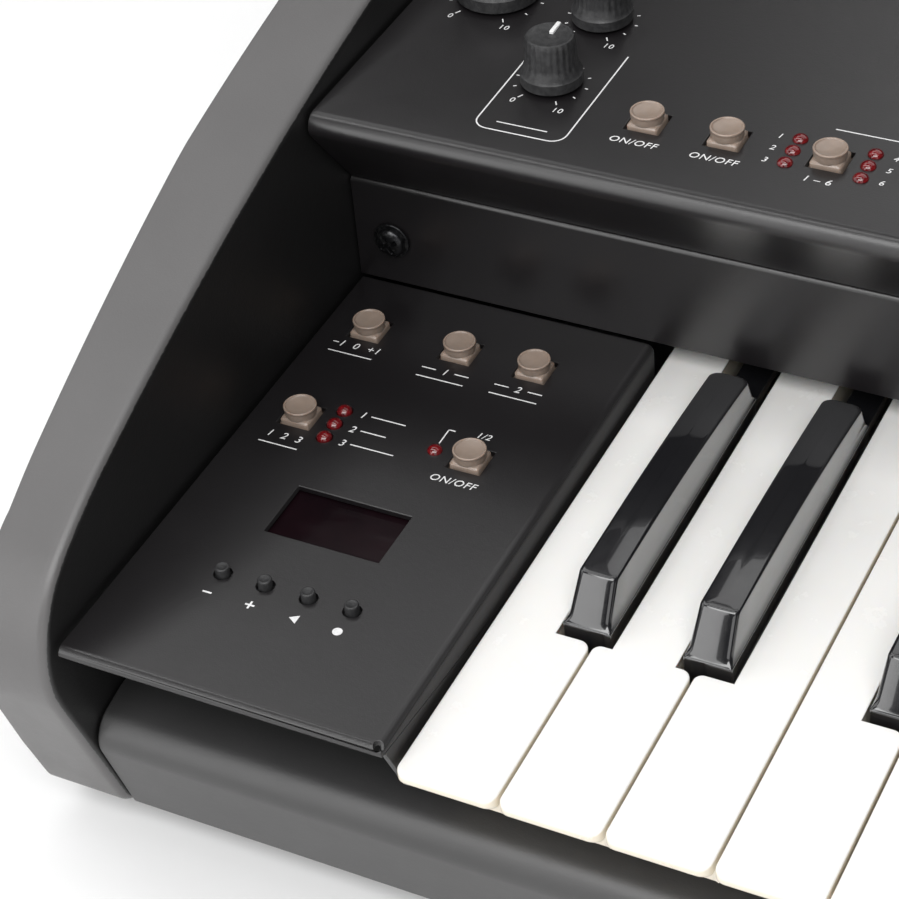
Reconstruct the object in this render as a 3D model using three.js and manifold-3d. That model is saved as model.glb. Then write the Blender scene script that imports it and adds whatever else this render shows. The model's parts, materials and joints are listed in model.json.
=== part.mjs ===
// A compact spinet organ with one manual, an electronic drawbar organ that stands on four feet.
// Two cheeks carry a folded steel case. A control block lies to the left of the keys, a blank block
// to their right, and a level control panel with knobs, buttons and drawbars stands above the fascia.
// Lengths are in millimetres and angles in degrees. The origin is under the middle of the case, on
// the surface that the feet stand on. X runs to the right, Y away from the player and Z up.
// Every piece is drawn in keyboard places: X from the left end of the lowest key, Y back from the key
// fronts and Z up from the key tops. One group sets the whole instrument on its feet.

import * as THREE from "three";
import { mergeVertices } from "three/addons/utils/BufferGeometryUtils.js";
import Module from "manifold-3d";

const wasm = await Module();
wasm.setup();

// Overall sizes
const case_depth = 331.5;
const block_width = 81;
const key_pitch = 23.5;
const octaves = 5;
const cheek_foot_depth = 60;
const foot_stand = 8;
const seat_gap = 0.3;
const running_gap = 0.8;
const cut_overrun = 2;
const weld_distance = 0.0001;

const cheek = {
  thickness: 22,
  reach: 5.2,
  nose_radius: 31.2,
  nose_drop: 0.8,
  nose_lean: 19.4,
  shoulder_angle: 33.4,
  shoulder_radius: 121,
  brow_angle: 22.4,
  brow_radius: 700,
  front_foot_radius: 10,
  rear_radius: 12,
};

const keys = {
  gap: 1,
  slot: 13.3,
  notch: 50,
  depth: 10,
  plate: 3.2,
  plate_reach: 6,
  lip_radius: 1.6,
  under_radius: 1.2,
  corner_radius: 1.6,
  notch_radius: 2,
  pivot: 216,
  tail: 228,
};

const sharp = {
  side_gap: 1,
  top_narrowing: 1.2,
  height: 12.4,
  rear_height: 9.2,
  level_length: 17,
  kerb: 2.1,
  front_set_back: 1.5,
  front_slope: 7,
  rear_gap: 6.5,
  rear_slope: 2.5,
  lever_width: 8,
  lever_drop: 2,
  lever_tail: 222,
  tie_length: 16,
  tie_gap: 0.5,
  tie_height: 3,
};

const fascia = {
  place: 142.5,
  lower_edge: 7.5,
  upper_edge: 36.9,
  sheet: 1.5,
  flange: 13,
  bend: 1.5,
};

const panel = {
  height: 64.6,
  overhang: 20.5,
  sheet: 1.6,
  bend: 3.5,
  lip_bend: 1.6,
  flange: 12,
  rear_set_back: 4,
};

const cover = {
  height: 7,
  sheet: 1.5,
  front: -1.2,
  key_gap: 1,
  cheek_gap: 1,
  bend: 2.1,
  lip: 2.3,
  side_flange: 20,
  flange_rake_share: 0.44,
  relief_radius: 1.1,
  relief_inset: 1.4,
};

const rail = {
  top: 21.8,
  rear: 32.5,
  crest: 18,
  front: 3.9,
  front_drop: 3.1,
  front_radius: 7,
  front_lean: 17.4,
  foot_rise: 3,
};

const tray = {
  rise: 7,
  sheet: 3,
  front: 33,
};

const chassis = {
  front: 34,
  deck_drop: 24,
  sheet: 2,
  bend: 2.5,
  rail_ahead: 4,
  rail_behind: 14,
  end_gap: 1,
};

const rear_plate = {
  sheet: 3,
  set_back: 7,
};

const supply = {
  plate_width: 136,
  width: 100,
  depth: 70,
  height: 40,
  from_cheek: 27,
  inlet_width: 28,
  inlet_height: 20,
  inlet_depth: 16,
  inlet_rise: 12,
};

const main_board = {
  width: 260,
  from_left: 300,
  sheet: 1.6,
  stand: 5,
  post_radius: 3,
  inset: 10,
  chip_width: 30,
  chip_height: 4,
};

const push_button = {
  base: 7.5,
  base_height: 1,
  cap_radius: 4,
  cap_height: 3.4,
  dish_depth: 0.5,
  dish_rim: 0.7,
  hole_clearance: 0.6,
  flange: 10.6,
  flange_height: 1.5,
  stem: 4,
  stem_depth: 6,
  travel: 1.2,
};

const menu_button = {
  radius: 1.65,
  height: 2.1,
  hole_radius: 2.15,
  flange_radius: 2.9,
  stem_radius: 1,
};

const lamp = {
  radius: 1.85,
  height: 1.3,
  pitch: 5.1,
  hole_radius: 2.05,
  bar_width: 4,
  bar_height: 2,
  neck: 3,
};

const switch_board = {
  drop: 11,
  sheet: 1.6,
  switch_width: 6,
  post_radius: 2,
  margin: 4,
  side_inset: 5,
};

const display = {
  width: 29.1,
  depth: 16.3,
  border: 1.6,
  glass_drop: 1.8,
};

const knob = {
  shaft_radius: 3,
  shaft_hole: 3.4,
  shaft_depth: 8.5,
  lift: 0.6,
  pot_height: 2,
  mark_width: 1.4,
  mark_height: 0.5,
  top_share: 0.86,
  skirt_share: 0.3,
  top_round: 1.2,
};

const knob_kinds = {
  volume: { radius: 10.5, height: 15, from_left: -61, from_front: 68 },
  drive: { radius: 7.5, height: 13, from_left: -32.2, from_front: 66 },
  tone: { radius: 7.5, height: 13, from_left: -32.2, from_front: 36.5 },
};

const vibrato = {
  upper: -4.6,
  lower: 14.9,
  type: 39.4,
  from_front: 28.5,
};

const drawbar = {
  count: 9,
  pitch: 17,
  first: 92,
  cap_width: 12.6,
  cap_depth: 15,
  cap_height: 9,
  cap_lift: 0.6,
  cap_slope: 4,
  cap_round: 1.4,
  stem_width: 4,
  stem_depth: 11,
  slot_clearance: 0.5,
  travel: 38,
  slot_front: 31,
  foot_width: 9,
  foot_height: 3,
};

const guide_board = {
  front: 21,
  depth: 76,
  post_radius: 2.5,
  side_margin: 10,
};

const screw = {
  place_inset: 10.6,
  rise: 13,
  washer_radius: 4.8,
  washer: 0.7,
  head_radius: 3.9,
  head: 2.1,
  head_round: 1.1,
  shank_radius: 1.7,
  shank_length: 9,
  hole_clearance: 0.4,
};

const foot = {
  radius: 12,
  waist: 10.5,
  side_inset: 21,
  front_inset: 60,
  rear_inset: 45,
};

// Places on the control block, as shares of the block's width from the key side
// and of the fascia's distance from the key fronts.
const column_shares = { outer: 0.842, middle: 0.538, inner: 0.294, type_lamps: 0.732 };
const row_shares = { rear: 0.865, front: 0.6175, display: 0.402, menu: 0.234 };
const display_column_share = 0.519;
const menu_spread_share = 0.1333;
const board_depth_share = 0.8;
// Where a sharp's falling top is faceted, as shares of the way from its level part to its rear.
const fall_shares = [0, 0.35, 0.6, 0.8];

// Fineness of round shapes
const arc_steps = 5;
const fine_steps = 1;
const rod_sides = 12;
const foot_sides = 20;
const turned_sides = 16;

// Places that follow from the sizes
const naturals_per_octave = 7;
const natural_count = octaves * naturals_per_octave + 1;
const key_span = natural_count * key_pitch;
const case_left = -block_width;
const case_right = key_span + block_width;
const case_rear = case_depth - cheek.reach;
const cheek_foot = -cheek_foot_depth;
const tray_top = cheek_foot + tray.rise + tray.sheet;
const rear_face = case_rear - rear_plate.set_back + rear_plate.sheet;
const panel_rear = case_rear - panel.rear_set_back;
const chassis_rear = keys.pivot + chassis.rail_behind;
const panel_front = fascia.place - panel.overhang;
const panel_floor = panel.height - panel.sheet;
const button_hole = push_button.base + 2 * push_button.hole_clearance;
const switch_height = switch_board.drop - push_button.stem_depth - push_button.travel - seat_gap;

const natural_names = ["c", "d", "e", "f", "g", "a", "b"];
// The naturals that have a sharp to their right.
const sharp_after = [true, true, false, true, true, true, false];

// Solids

function solid_of(geometry) {
  const bare = new THREE.BufferGeometry();
  const flat = geometry.index ? geometry.toNonIndexed() : geometry;
  bare.setAttribute("position", flat.getAttribute("position"));
  const merged = mergeVertices(bare, weld_distance);
  return new wasm.Manifold(
    new wasm.Mesh({
      numProp: 3,
      vertProperties: merged.attributes.position.array,
      triVerts: new Uint32Array(merged.index.array),
    }),
  );
}

function mesh_of(name, solid, material) {
  const made = solid.getMesh();
  const geometry = new THREE.BufferGeometry();
  geometry.setAttribute("position", new THREE.BufferAttribute(made.vertProperties, 3));
  geometry.setIndex(new THREE.BufferAttribute(made.triVerts, 1));
  geometry.computeVertexNormals();
  const mesh = new THREE.Mesh(geometry, material);
  mesh.name = name;
  return mesh;
}

function join(solids) {
  return solids.reduce((whole, one) => whole.add(one));
}

function cut(whole, tools) {
  return tools.reduce((rest, tool) => rest.subtract(tool), whole);
}

// A box between two corners.
function block(x0, x1, y0, y1, z0, z1) {
  const geometry = new THREE.BoxGeometry(Math.abs(x1 - x0), Math.abs(y1 - y0), Math.abs(z1 - z0));
  geometry.translate((x0 + x1) / 2, (y0 + y1) / 2, (z0 + z1) / 2);
  return solid_of(geometry);
}

function prism(outline, length, steps) {
  return new THREE.ExtrudeGeometry(outline, {
    depth: length,
    bevelEnabled: false,
    curveSegments: steps,
  });
}

// A prism of an outline in X and Y, standing from z0 up to z1.
function prism_up(outline, z0, z1, steps = arc_steps) {
  const geometry = prism(outline, z1 - z0, steps);
  geometry.translate(0, 0, z0);
  return solid_of(geometry);
}

// A prism of an outline in Y and Z, lying from x0 across to x1.
function prism_across(outline, x0, x1, steps = arc_steps) {
  const geometry = prism(outline, x1 - x0, steps);
  const turn = new THREE.Matrix4().makeBasis(
    new THREE.Vector3(0, 1, 0),
    new THREE.Vector3(0, 0, 1),
    new THREE.Vector3(1, 0, 0),
  );
  geometry.applyMatrix4(turn);
  geometry.translate(x0, 0, 0);
  return solid_of(geometry);
}

// A prism of an outline in X and Z, running from y0 back to y1.
function prism_back(outline, y0, y1, steps = arc_steps) {
  const geometry = prism(outline, y1 - y0, steps);
  geometry.rotateX(Math.PI / 2);
  geometry.translate(0, y1, 0);
  return solid_of(geometry);
}

// A round rod or a cone frustum on the Z axis.
function rod(radius, z0, z1, sides = rod_sides, top_radius = radius) {
  const geometry = new THREE.CylinderGeometry(top_radius, radius, z1 - z0, sides);
  geometry.rotateX(Math.PI / 2);
  geometry.translate(0, 0, (z0 + z1) / 2);
  return solid_of(geometry);
}

// A solid turned about the Z axis from a profile of radius and height that starts and ends on it.
function turned(profile, sides = turned_sides) {
  const points = profile.map(([radius, height]) => new THREE.Vector2(radius, height));
  const geometry = new THREE.LatheGeometry(points, sides);
  geometry.rotateX(Math.PI / 2);
  return solid_of(geometry);
}

function moved(solid, x, y, z) {
  return solid.translate([x, y, z]);
}

// Outlines

// A closed outline through corners of the form [across, up, radius], each rounded to its radius.
function rounded_outline(corners) {
  const outline = new THREE.Shape();
  corners.forEach(([across, up, radius = 0], index) => {
    const corner = new THREE.Vector2(across, up);
    const before = corners[(index + corners.length - 1) % corners.length];
    const after = corners[(index + 1) % corners.length];
    const back = new THREE.Vector2(before[0], before[1]).sub(corner).normalize();
    const ahead = new THREE.Vector2(after[0], after[1]).sub(corner).normalize();
    const half_angle = Math.acos(back.dot(ahead)) / 2;
    const start = corner.clone().addScaledVector(back, radius / Math.tan(half_angle));
    if (index === 0) {
      outline.moveTo(start.x, start.y);
    } else {
      outline.lineTo(start.x, start.y);
    }
    if (radius > 0) {
      const inward = back.clone().add(ahead).normalize();
      const centre = corner.clone().addScaledVector(inward, radius / Math.sin(half_angle));
      const end = corner.clone().addScaledVector(ahead, radius / Math.tan(half_angle));
      const from = start.clone().sub(centre).angle();
      const to = end.clone().sub(centre).angle();
      outline.absarc(centre.x, centre.y, radius, from, to, back.cross(ahead) > 0);
    }
  });
  outline.closePath();
  return outline;
}

function rounded_rectangle(width, depth, radius) {
  const x = width / 2;
  const y = depth / 2;
  return rounded_outline([
    [-x, -y, radius],
    [x, -y, radius],
    [x, y, radius],
    [-x, y, radius],
  ]);
}

// The outline of a folded sheet. The path is its outer skin, and the sheet lies to the right of it.
function folded_sheet(path, sheet, bends) {
  const points = path.map(([across, up]) => new THREE.Vector2(across, up));
  const last = points.length - 1;
  const side = (from, to) => {
    const run = to.clone().sub(from).normalize();
    return new THREE.Vector2(run.y, -run.x);
  };
  const inner = points.map((point, index) => {
    const before = side(points[Math.max(index - 1, 0)], points[Math.max(index, 1)]);
    const after = side(points[Math.min(index, last - 1)], points[Math.min(index + 1, last)]);
    const mitre = before.clone().add(after).divideScalar(1 + before.dot(after));
    return point.clone().addScaledVector(mitre, sheet);
  });
  const turn = (index) => {
    const before = side(points[index - 1], points[index]);
    return before.cross(side(points[index], points[index + 1]));
  };
  const rounding = (index, inside) => {
    if (index === 0 || index === last) {
      return 0;
    }
    const towards_sheet = turn(index) < 0;
    return towards_sheet === inside ? Math.max(bends[index - 1] - sheet, 0) : bends[index - 1];
  };
  const outer_corners = points.map((point, index) => [point.x, point.y, rounding(index, false)]);
  const inner_corners = inner.map((point, index) => [point.x, point.y, rounding(index, true)]);
  return rounded_outline([...outer_corners, ...inner_corners.reverse()]);
}

// Materials

function finish(colour, roughness, metalness = 0) {
  return new THREE.MeshStandardMaterial({ color: colour, roughness, metalness });
}

const cheek_paint = finish(0x3a3b3d, 0.55);
const case_paint = finish(0x1e1e20, 0.5, 0.2);
const rail_paint = finish(0x2b2b2d, 0.45, 0.2);
const ivory_white = finish(0xf4f2ec, 0.25);
const glossy_black = finish(0x0b0b0d, 0.12);
const taupe_plastic = finish(0x9b8c80, 0.35);
const dark_plastic = finish(0x242426, 0.5);
const lamp_red = finish(0x8e1016, 0.15);
const display_glass = finish(0x0d0508, 0.06);
const zinc_steel = finish(0x8d9094, 0.4, 0.9);
const screw_steel = finish(0x1a1a1c, 0.3, 0.9);
const board_green = finish(0x1f5a36, 0.5);
const drawbar_brown = finish(0x5a3420, 0.3);
const drawbar_white = finish(0xeeeae0, 0.3);
const drawbar_black = finish(0x121214, 0.3);
const foot_rubber = finish(0x171717, 0.85);

// Cheeks

// The cheek's outline in Y and Z: a leaning front, a round nose, a shoulder and a long flat brow
// that runs out level at the rear.
function cheek_outline() {
  const radians = THREE.MathUtils.degToRad;
  const lean = radians(cheek.nose_lean);
  const from_centre = (angle) => new THREE.Vector2(-Math.sin(angle), Math.cos(angle));
  const nose = new THREE.Vector2(cheek.nose_radius - cheek.reach, -cheek.nose_drop);
  const shoulder_start = from_centre(radians(cheek.shoulder_angle));
  const shoulder = nose
    .clone()
    .addScaledVector(shoulder_start, cheek.nose_radius - cheek.shoulder_radius);
  const brow_start = from_centre(radians(cheek.brow_angle));
  const brow = shoulder
    .clone()
    .addScaledVector(brow_start, cheek.shoulder_radius - cheek.brow_radius);
  const top = brow.y + cheek.brow_radius;
  const front_top = nose.clone().addScaledVector(
    new THREE.Vector2(-Math.cos(lean), -Math.sin(lean)),
    cheek.nose_radius,
  );
  const toe = front_top.x + (front_top.y - cheek_foot) * Math.tan(lean);
  const toe_tangent = cheek.front_foot_radius * Math.tan((Math.PI / 2 - lean) / 2);
  const quarter = Math.PI / 2;
  const brow_end = Math.max(0, Math.asin((brow.x - case_rear + cheek.rear_radius) / cheek.brow_radius));
  const outline = new THREE.Shape();
  outline.moveTo(case_rear - cheek.rear_radius, cheek_foot);
  outline.lineTo(toe + toe_tangent, cheek_foot);
  outline.absarc(
    toe + toe_tangent,
    cheek_foot + cheek.front_foot_radius,
    cheek.front_foot_radius,
    -quarter,
    lean - Math.PI,
    true,
  );
  outline.absarc(
    nose.x,
    nose.y,
    cheek.nose_radius,
    Math.PI + lean,
    quarter + radians(cheek.shoulder_angle),
    true,
  );
  outline.absarc(
    shoulder.x,
    shoulder.y,
    cheek.shoulder_radius,
    quarter + radians(cheek.shoulder_angle),
    quarter + radians(cheek.brow_angle),
    true,
  );
  outline.absarc(
    brow.x,
    brow.y,
    cheek.brow_radius,
    quarter + radians(cheek.brow_angle),
    quarter + brow_end,
    true,
  );
  const rear_top = brow_end > 0 ? brow.y + cheek.brow_radius * Math.cos(brow_end) : top;
  const rear_centre = case_rear - cheek.rear_radius;
  outline.absarc(rear_centre, rear_top - cheek.rear_radius, cheek.rear_radius, quarter, 0, true);
  outline.absarc(rear_centre, cheek_foot + cheek.rear_radius, cheek.rear_radius, 0, -quarter, true);
  outline.closePath();
  return outline;
}

function cheek_mesh(name, inner_face, outward) {
  const outer_face = inner_face + outward * cheek.thickness;
  const x0 = Math.min(inner_face, outer_face);
  return mesh_of(name, prism_across(cheek_outline(), x0, x0 + cheek.thickness), cheek_paint);
}

// Case

function front_rail_mesh() {
  const lean = Math.tan(THREE.MathUtils.degToRad(rail.front_lean));
  const front_top = -rail.top - rail.front_drop;
  const bottom = cheek_foot + rail.foot_rise;
  const outline = rounded_outline([
    [rail.rear, -rail.top],
    [rail.crest, -rail.top],
    [rail.front, front_top, rail.front_radius],
    [rail.front + (front_top - bottom) * lean, bottom],
    [rail.rear, bottom],
  ]);
  const solid = prism_across(outline, case_left + seat_gap, case_right - seat_gap);
  return mesh_of("front_rail", solid, rail_paint);
}

function base_tray_mesh() {
  const solid = block(
    case_left + seat_gap,
    case_right - seat_gap,
    tray.front,
    rear_face - rear_plate.sheet - seat_gap,
    tray_top - tray.sheet,
    tray_top,
  );
  return mesh_of("base_tray", solid, zinc_steel);
}

function rear_panel_mesh() {
  const solid = block(
    case_left + seat_gap,
    case_right - supply.plate_width - seat_gap,
    rear_face - rear_plate.sheet,
    rear_face,
    tray_top - tray.sheet,
    panel_floor - seat_gap,
  );
  return mesh_of("rear_panel", solid, case_paint);
}

function top_panel_profile() {
  return folded_sheet(
    [
      [fascia.place + panel.flange, fascia.upper_edge + seat_gap],
      [fascia.place, fascia.upper_edge + seat_gap],
      [panel_front, panel.height],
      [panel_rear, panel.height],
    ],
    panel.sheet,
    [panel.lip_bend, panel.bend],
  );
}

// A slot or hole tool on the control panel, from under the sheet to above it.
function panel_tool(outline, x, y) {
  const tool = prism_up(outline, panel_floor - cut_overrun, panel.height + cut_overrun, fine_steps);
  return moved(tool, x, y, 0);
}

function round_tool(radius, x, y, top, sheet) {
  return moved(rod(radius, top - sheet - cut_overrun, top + cut_overrun), x, y, 0);
}

function knob_place(kind) {
  return [kind.from_left, panel_front + kind.from_front];
}

const vibrato_row = panel_front + vibrato.from_front;
const drawbar_slot_length = drawbar.stem_depth + drawbar.travel + 2 * drawbar.slot_clearance;
const drawbar_slot_front = panel_front + drawbar.slot_front;
const drawbar_rest = drawbar_slot_front + drawbar_slot_length - drawbar.slot_clearance - drawbar.stem_depth / 2;

function drawbar_x(index) {
  return drawbar.first + index * drawbar.pitch;
}

function top_panel_mesh() {
  const sheet = prism_across(
    top_panel_profile(),
    case_left + running_gap,
    case_right - running_gap,
  );
  const square = rounded_rectangle(button_hole, button_hole, 0);
  const tools = [vibrato.upper, vibrato.lower, vibrato.type].map((x) =>
    panel_tool(square, x, vibrato_row),
  );
  for (const kind of Object.values(knob_kinds)) {
    const [x, y] = knob_place(kind);
    tools.push(round_tool(knob.shaft_hole, x, y, panel.height, panel.sheet));
  }
  const slot_width = drawbar.stem_width + 2 * drawbar.slot_clearance;
  const slot = rounded_rectangle(slot_width, drawbar_slot_length, 0);
  for (let index = 0; index < drawbar.count; index += 1) {
    tools.push(panel_tool(slot, drawbar_x(index), drawbar_slot_front + drawbar_slot_length / 2));
  }
  return mesh_of("top_panel", cut(sheet, tools), case_paint);
}

function screw_places() {
  const inset = screw.place_inset;
  return { left: case_left + inset, right: case_right - inset };
}

function key_fascia_mesh() {
  const profile = folded_sheet(
    [
      [fascia.place, fascia.lower_edge],
      [fascia.place, fascia.upper_edge],
      [fascia.place + fascia.flange, fascia.upper_edge],
    ],
    fascia.sheet,
    [fascia.bend],
  );
  const sheet = prism_across(profile, case_left + seat_gap, case_right - seat_gap);
  const holes = Object.values(screw_places()).map((x) => {
    const bore = rod(screw.shank_radius + screw.hole_clearance, -screw.shank_length, cut_overrun);
    const lying = bore.rotate([90, 0, 0]);
    return moved(lying, x, fascia.place, fascia.lower_edge + screw.rise);
  });
  return mesh_of("key_fascia", cut(sheet, holes), case_paint);
}

// A pan head screw with its washer, its shank running back through the fascia.
function screw_mesh(name, x) {
  const head_top = screw.washer + screw.head;
  const head = turned([
    [0, 0],
    [screw.washer_radius, 0],
    [screw.washer_radius, screw.washer],
    [screw.head_radius, screw.washer],
    [screw.head_radius, head_top - screw.head_round],
    [screw.head_radius - screw.head_round / 2, head_top - screw.head_round / 4],
    [screw.head_radius - screw.head_round, head_top],
    [0, head_top],
  ]);
  const shank = rod(screw.shank_radius, -screw.shank_length, screw.washer);
  const mesh = mesh_of(name, head.add(shank), screw_steel);
  mesh.rotation.x = Math.PI / 2;
  mesh.position.set(x, fascia.place - seat_gap, fascia.lower_edge + screw.rise);
  return mesh;
}

// The blocks beside the keys

// A cover folded from one sheet, with a short front lip and a deep flange beside the keys. The
// flange's front edge starts behind the lip and rakes back as it falls.
// The key side and the cheek side are X places, in either order.
function block_cover_solid(key_side, cheek_side) {
  const outward = Math.sign(cheek_side - key_side);
  const rear = fascia.place - seat_gap;
  const low = cover.height - cover.side_flange;
  const shell = (inset, reach) => {
    const top = cover.height - inset;
    const bottom = low - reach;
    const front = cover.front + inset;
    const round = cover.bend - inset;
    const side = key_side + outward * inset;
    const far = cheek_side + outward * reach;
    const lengthways = rounded_outline([
      [front, top, round],
      [rear + reach, top],
      [rear + reach, bottom],
      [front, bottom],
    ]);
    const sideways = rounded_outline([
      [side, top, round],
      [far, top],
      [far, bottom],
      [side, bottom],
    ]);
    const x0 = Math.min(side, far);
    const x1 = Math.max(side, far);
    return prism_across(lengthways, x0, x1).intersect(prism_back(sideways, front, rear + reach));
  };
  const trim_top = cover.height - cover.lip;
  const trim_foot = low - cut_overrun;
  const trim_rear = cover.front + cover.sheet;
  const trim_outline = rounded_outline([
    [cover.front - cut_overrun, trim_top],
    [trim_rear, trim_top],
    [trim_rear + (trim_top - trim_foot) * cover.flange_rake_share, trim_foot],
    [cover.front - cut_overrun, trim_foot],
  ]);
  const trim_left = Math.min(key_side, cheek_side) - cut_overrun;
  const trim_right = Math.max(key_side, cheek_side) + cut_overrun;
  const lip_trim = prism_across(trim_outline, trim_left, trim_right);
  const relief = moved(
    rod(cover.relief_radius, low, cover.height + cut_overrun),
    key_side + outward * cover.relief_inset,
    cover.front + cover.relief_inset,
    0,
  );
  return cut(shell(0, 0), [shell(cover.sheet, cut_overrun), lip_trim, relief]);
}

function column(share) {
  return -share * block_width;
}

function row(share) {
  return share * fascia.place;
}

const button_places = {
  lower_octave_button: [column(column_shares.outer), row(row_shares.rear)],
  lower_preset_a_button: [column(column_shares.middle), row(row_shares.rear)],
  lower_preset_b_button: [column(column_shares.inner), row(row_shares.rear)],
  organ_type_button: [column(column_shares.outer), row(row_shares.front)],
  pedals_button: [column(column_shares.inner), row(row_shares.front)],
};

const display_place = [column(display_column_share), row(row_shares.display)];
const lamp_column = column(column_shares.type_lamps);

const menu_names = ["minus_button", "plus_button", "back_button", "enter_button"];

function menu_place(index) {
  const from_middle = index - (menu_names.length - 1) / 2;
  const spread = menu_spread_share * block_width;
  return [display_place[0] + from_middle * spread, row(row_shares.menu)];
}

function lamp_offsets() {
  return [-lamp.pitch, 0, lamp.pitch];
}

function left_block_cover_mesh() {
  const cover_top = cover.height + cut_overrun;
  const cover_under = cover.height - cover.sheet - cut_overrun;
  const square = rounded_rectangle(button_hole, button_hole, 0);
  const window_outline = rounded_rectangle(display.width, display.depth, 0);
  const tools = Object.values(button_places).map(([x, y]) =>
    moved(prism_up(square, cover_under, cover_top), x, y, 0),
  );
  tools.push(moved(prism_up(window_outline, cover_under, cover_top), ...display_place, 0));
  menu_names.forEach((name, index) => {
    const [x, y] = menu_place(index);
    tools.push(round_tool(menu_button.hole_radius, x, y, cover.height, cover.sheet));
  });
  for (const offset of lamp_offsets()) {
    const y = row(row_shares.front) + offset;
    tools.push(round_tool(lamp.hole_radius, lamp_column, y, cover.height, cover.sheet));
  }
  const solid = block_cover_solid(-cover.key_gap, case_left + cover.cheek_gap);
  return mesh_of("left_block_cover", cut(solid, tools), case_paint);
}

function right_block_cover_mesh() {
  const solid = block_cover_solid(key_span + cover.key_gap, case_right - cover.cheek_gap);
  return mesh_of("right_block_cover", solid, case_paint);
}

// The board under the control block, with a switch under each button and posts up to the cover.
function left_switch_board_mesh() {
  const top = cover.height - switch_board.drop;
  const x0 = case_left + switch_board.side_inset;
  const x1 = -cover.key_gap - cover.sheet - switch_board.side_inset / 2;
  const y0 = row(row_shares.menu) - 2 * switch_board.margin;
  const y1 = fascia.place - switch_board.margin;
  const pieces = [block(x0, x1, y0, y1, top - switch_board.sheet, top)];
  const half = switch_board.switch_width / 2;
  const switch_places = Object.values(button_places);
  menu_names.forEach((name, index) => switch_places.push(menu_place(index)));
  for (const [x, y] of switch_places) {
    const low = top - switch_board.sheet / 2;
    pieces.push(block(x - half, x + half, y - half, y + half, low, top + switch_height));
  }
  const post_top = cover.height - cover.sheet - seat_gap;
  for (const x of [x0 + switch_board.margin, x1 - switch_board.margin]) {
    for (const y of [y0 + switch_board.margin, y1 - switch_board.margin]) {
      const post = rod(switch_board.post_radius, top - switch_board.sheet / 2, post_top);
      pieces.push(moved(post, x, y, 0));
    }
  }
  return mesh_of("left_switch_board", join(pieces), board_green);
}

function display_window_mesh() {
  const [x, y] = display_place;
  const half_width = display.width / 2 + display.border;
  const half_depth = display.depth / 2 + display.border;
  const top = cover.height - display.glass_drop;
  const bottom = cover.height - switch_board.drop + seat_gap;
  const solid = block(
    x - half_width,
    x + half_width,
    y - half_depth,
    y + half_depth,
    bottom,
    top,
  );
  return mesh_of("display_window", solid, display_glass);
}

// Three round lamps that stand in one clear bar under the cover.
function organ_type_lamps_mesh() {
  const bar_top = -cover.sheet - seat_gap;
  const bar_half = lamp.pitch + lamp.bar_width / 2;
  const half_width = lamp.bar_width / 2;
  const bar_bottom = bar_top - lamp.bar_height;
  const pieces = [block(-half_width, half_width, -bar_half, bar_half, bar_bottom, bar_top)];
  const dome = turned([
    [0, -lamp.neck],
    [lamp.radius, -lamp.neck],
    [lamp.radius, 0],
    [lamp.radius * Math.cos(Math.PI / 6), lamp.height * Math.sin(Math.PI / 6)],
    [lamp.radius * Math.cos(Math.PI / 3), lamp.height * Math.sin(Math.PI / 3)],
    [0, lamp.height],
  ], rod_sides);
  for (const offset of lamp_offsets()) {
    pieces.push(moved(dome, 0, offset, 0));
  }
  const mesh = mesh_of("organ_type_lamps", join(pieces), lamp_red);
  mesh.position.set(lamp_column, row(row_shares.front), cover.height);
  return mesh;
}

// Buttons

// A square base that carries a dished round cap, with a flange under the sheet and a stem below.
// It is drawn about the place where its axis meets the top of the sheet.
function push_button_solid(sheet) {
  const half = push_button.base / 2;
  const flange_half = push_button.flange / 2;
  const stem_half = push_button.stem / 2;
  const flange_top = -sheet - seat_gap;
  const flange_bottom = flange_top - push_button.flange_height;
  const base = block(-half, half, -half, half, flange_bottom, push_button.base_height);
  const flange = block(-flange_half, flange_half, -flange_half, flange_half, flange_bottom, flange_top);
  const stem = block(
    -stem_half,
    stem_half,
    -stem_half,
    stem_half,
    -push_button.stem_depth,
    flange_bottom + push_button.flange_height / 2,
  );
  const cap = turned([
    [0, 0],
    [push_button.cap_radius, 0],
    [push_button.cap_radius, push_button.cap_height],
    [push_button.cap_radius - push_button.dish_rim, push_button.cap_height],
    [0, push_button.cap_height - push_button.dish_depth],
  ]);
  return join([base, flange, stem, cap]);
}

function push_button_mesh(name, x, y, top, sheet) {
  const mesh = mesh_of(name, push_button_solid(sheet), taupe_plastic);
  mesh.position.set(x, y, top);
  return mesh;
}

function menu_button_mesh(name, x, y) {
  const flange_top = -cover.sheet - seat_gap;
  const flange_bottom = flange_top - push_button.flange_height;
  const solid = join([
    rod(menu_button.radius, flange_bottom, menu_button.height),
    rod(menu_button.flange_radius, flange_bottom, flange_top),
    rod(menu_button.stem_radius, -push_button.stem_depth, flange_top),
  ]);
  const mesh = mesh_of(name, solid, dark_plastic);
  mesh.position.set(x, y, cover.height);
  return mesh;
}

// Knobs

// A knob with a wide skirt, a slightly tapered grip, a raised pointer and its shaft.
function knob_mesh(name, kind) {
  const skirt_top = kind.height * knob.skirt_share;
  const grip = kind.radius * knob.top_share;
  const body = turned([
    [0, knob.lift],
    [kind.radius, knob.lift],
    [kind.radius, skirt_top],
    [grip, skirt_top + knob.top_round],
    [grip * knob.top_share + grip * (1 - knob.top_share) / 2, kind.height - knob.top_round],
    [grip * knob.top_share, kind.height],
    [0, kind.height],
  ]);
  const shaft = rod(knob.shaft_radius, -knob.shaft_depth, knob.lift + knob.top_round);
  const half_mark = knob.mark_width / 2;
  const pointer = block(
    -half_mark,
    half_mark,
    0,
    grip * knob.top_share,
    kind.height - knob.top_round,
    kind.height + knob.mark_height,
  );
  const mesh = mesh_of(name, join([body, shaft, pointer]), dark_plastic);
  const [x, y] = knob_place(kind);
  mesh.position.set(x, y, panel.height);
  return mesh;
}

// Drawbars

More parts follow.
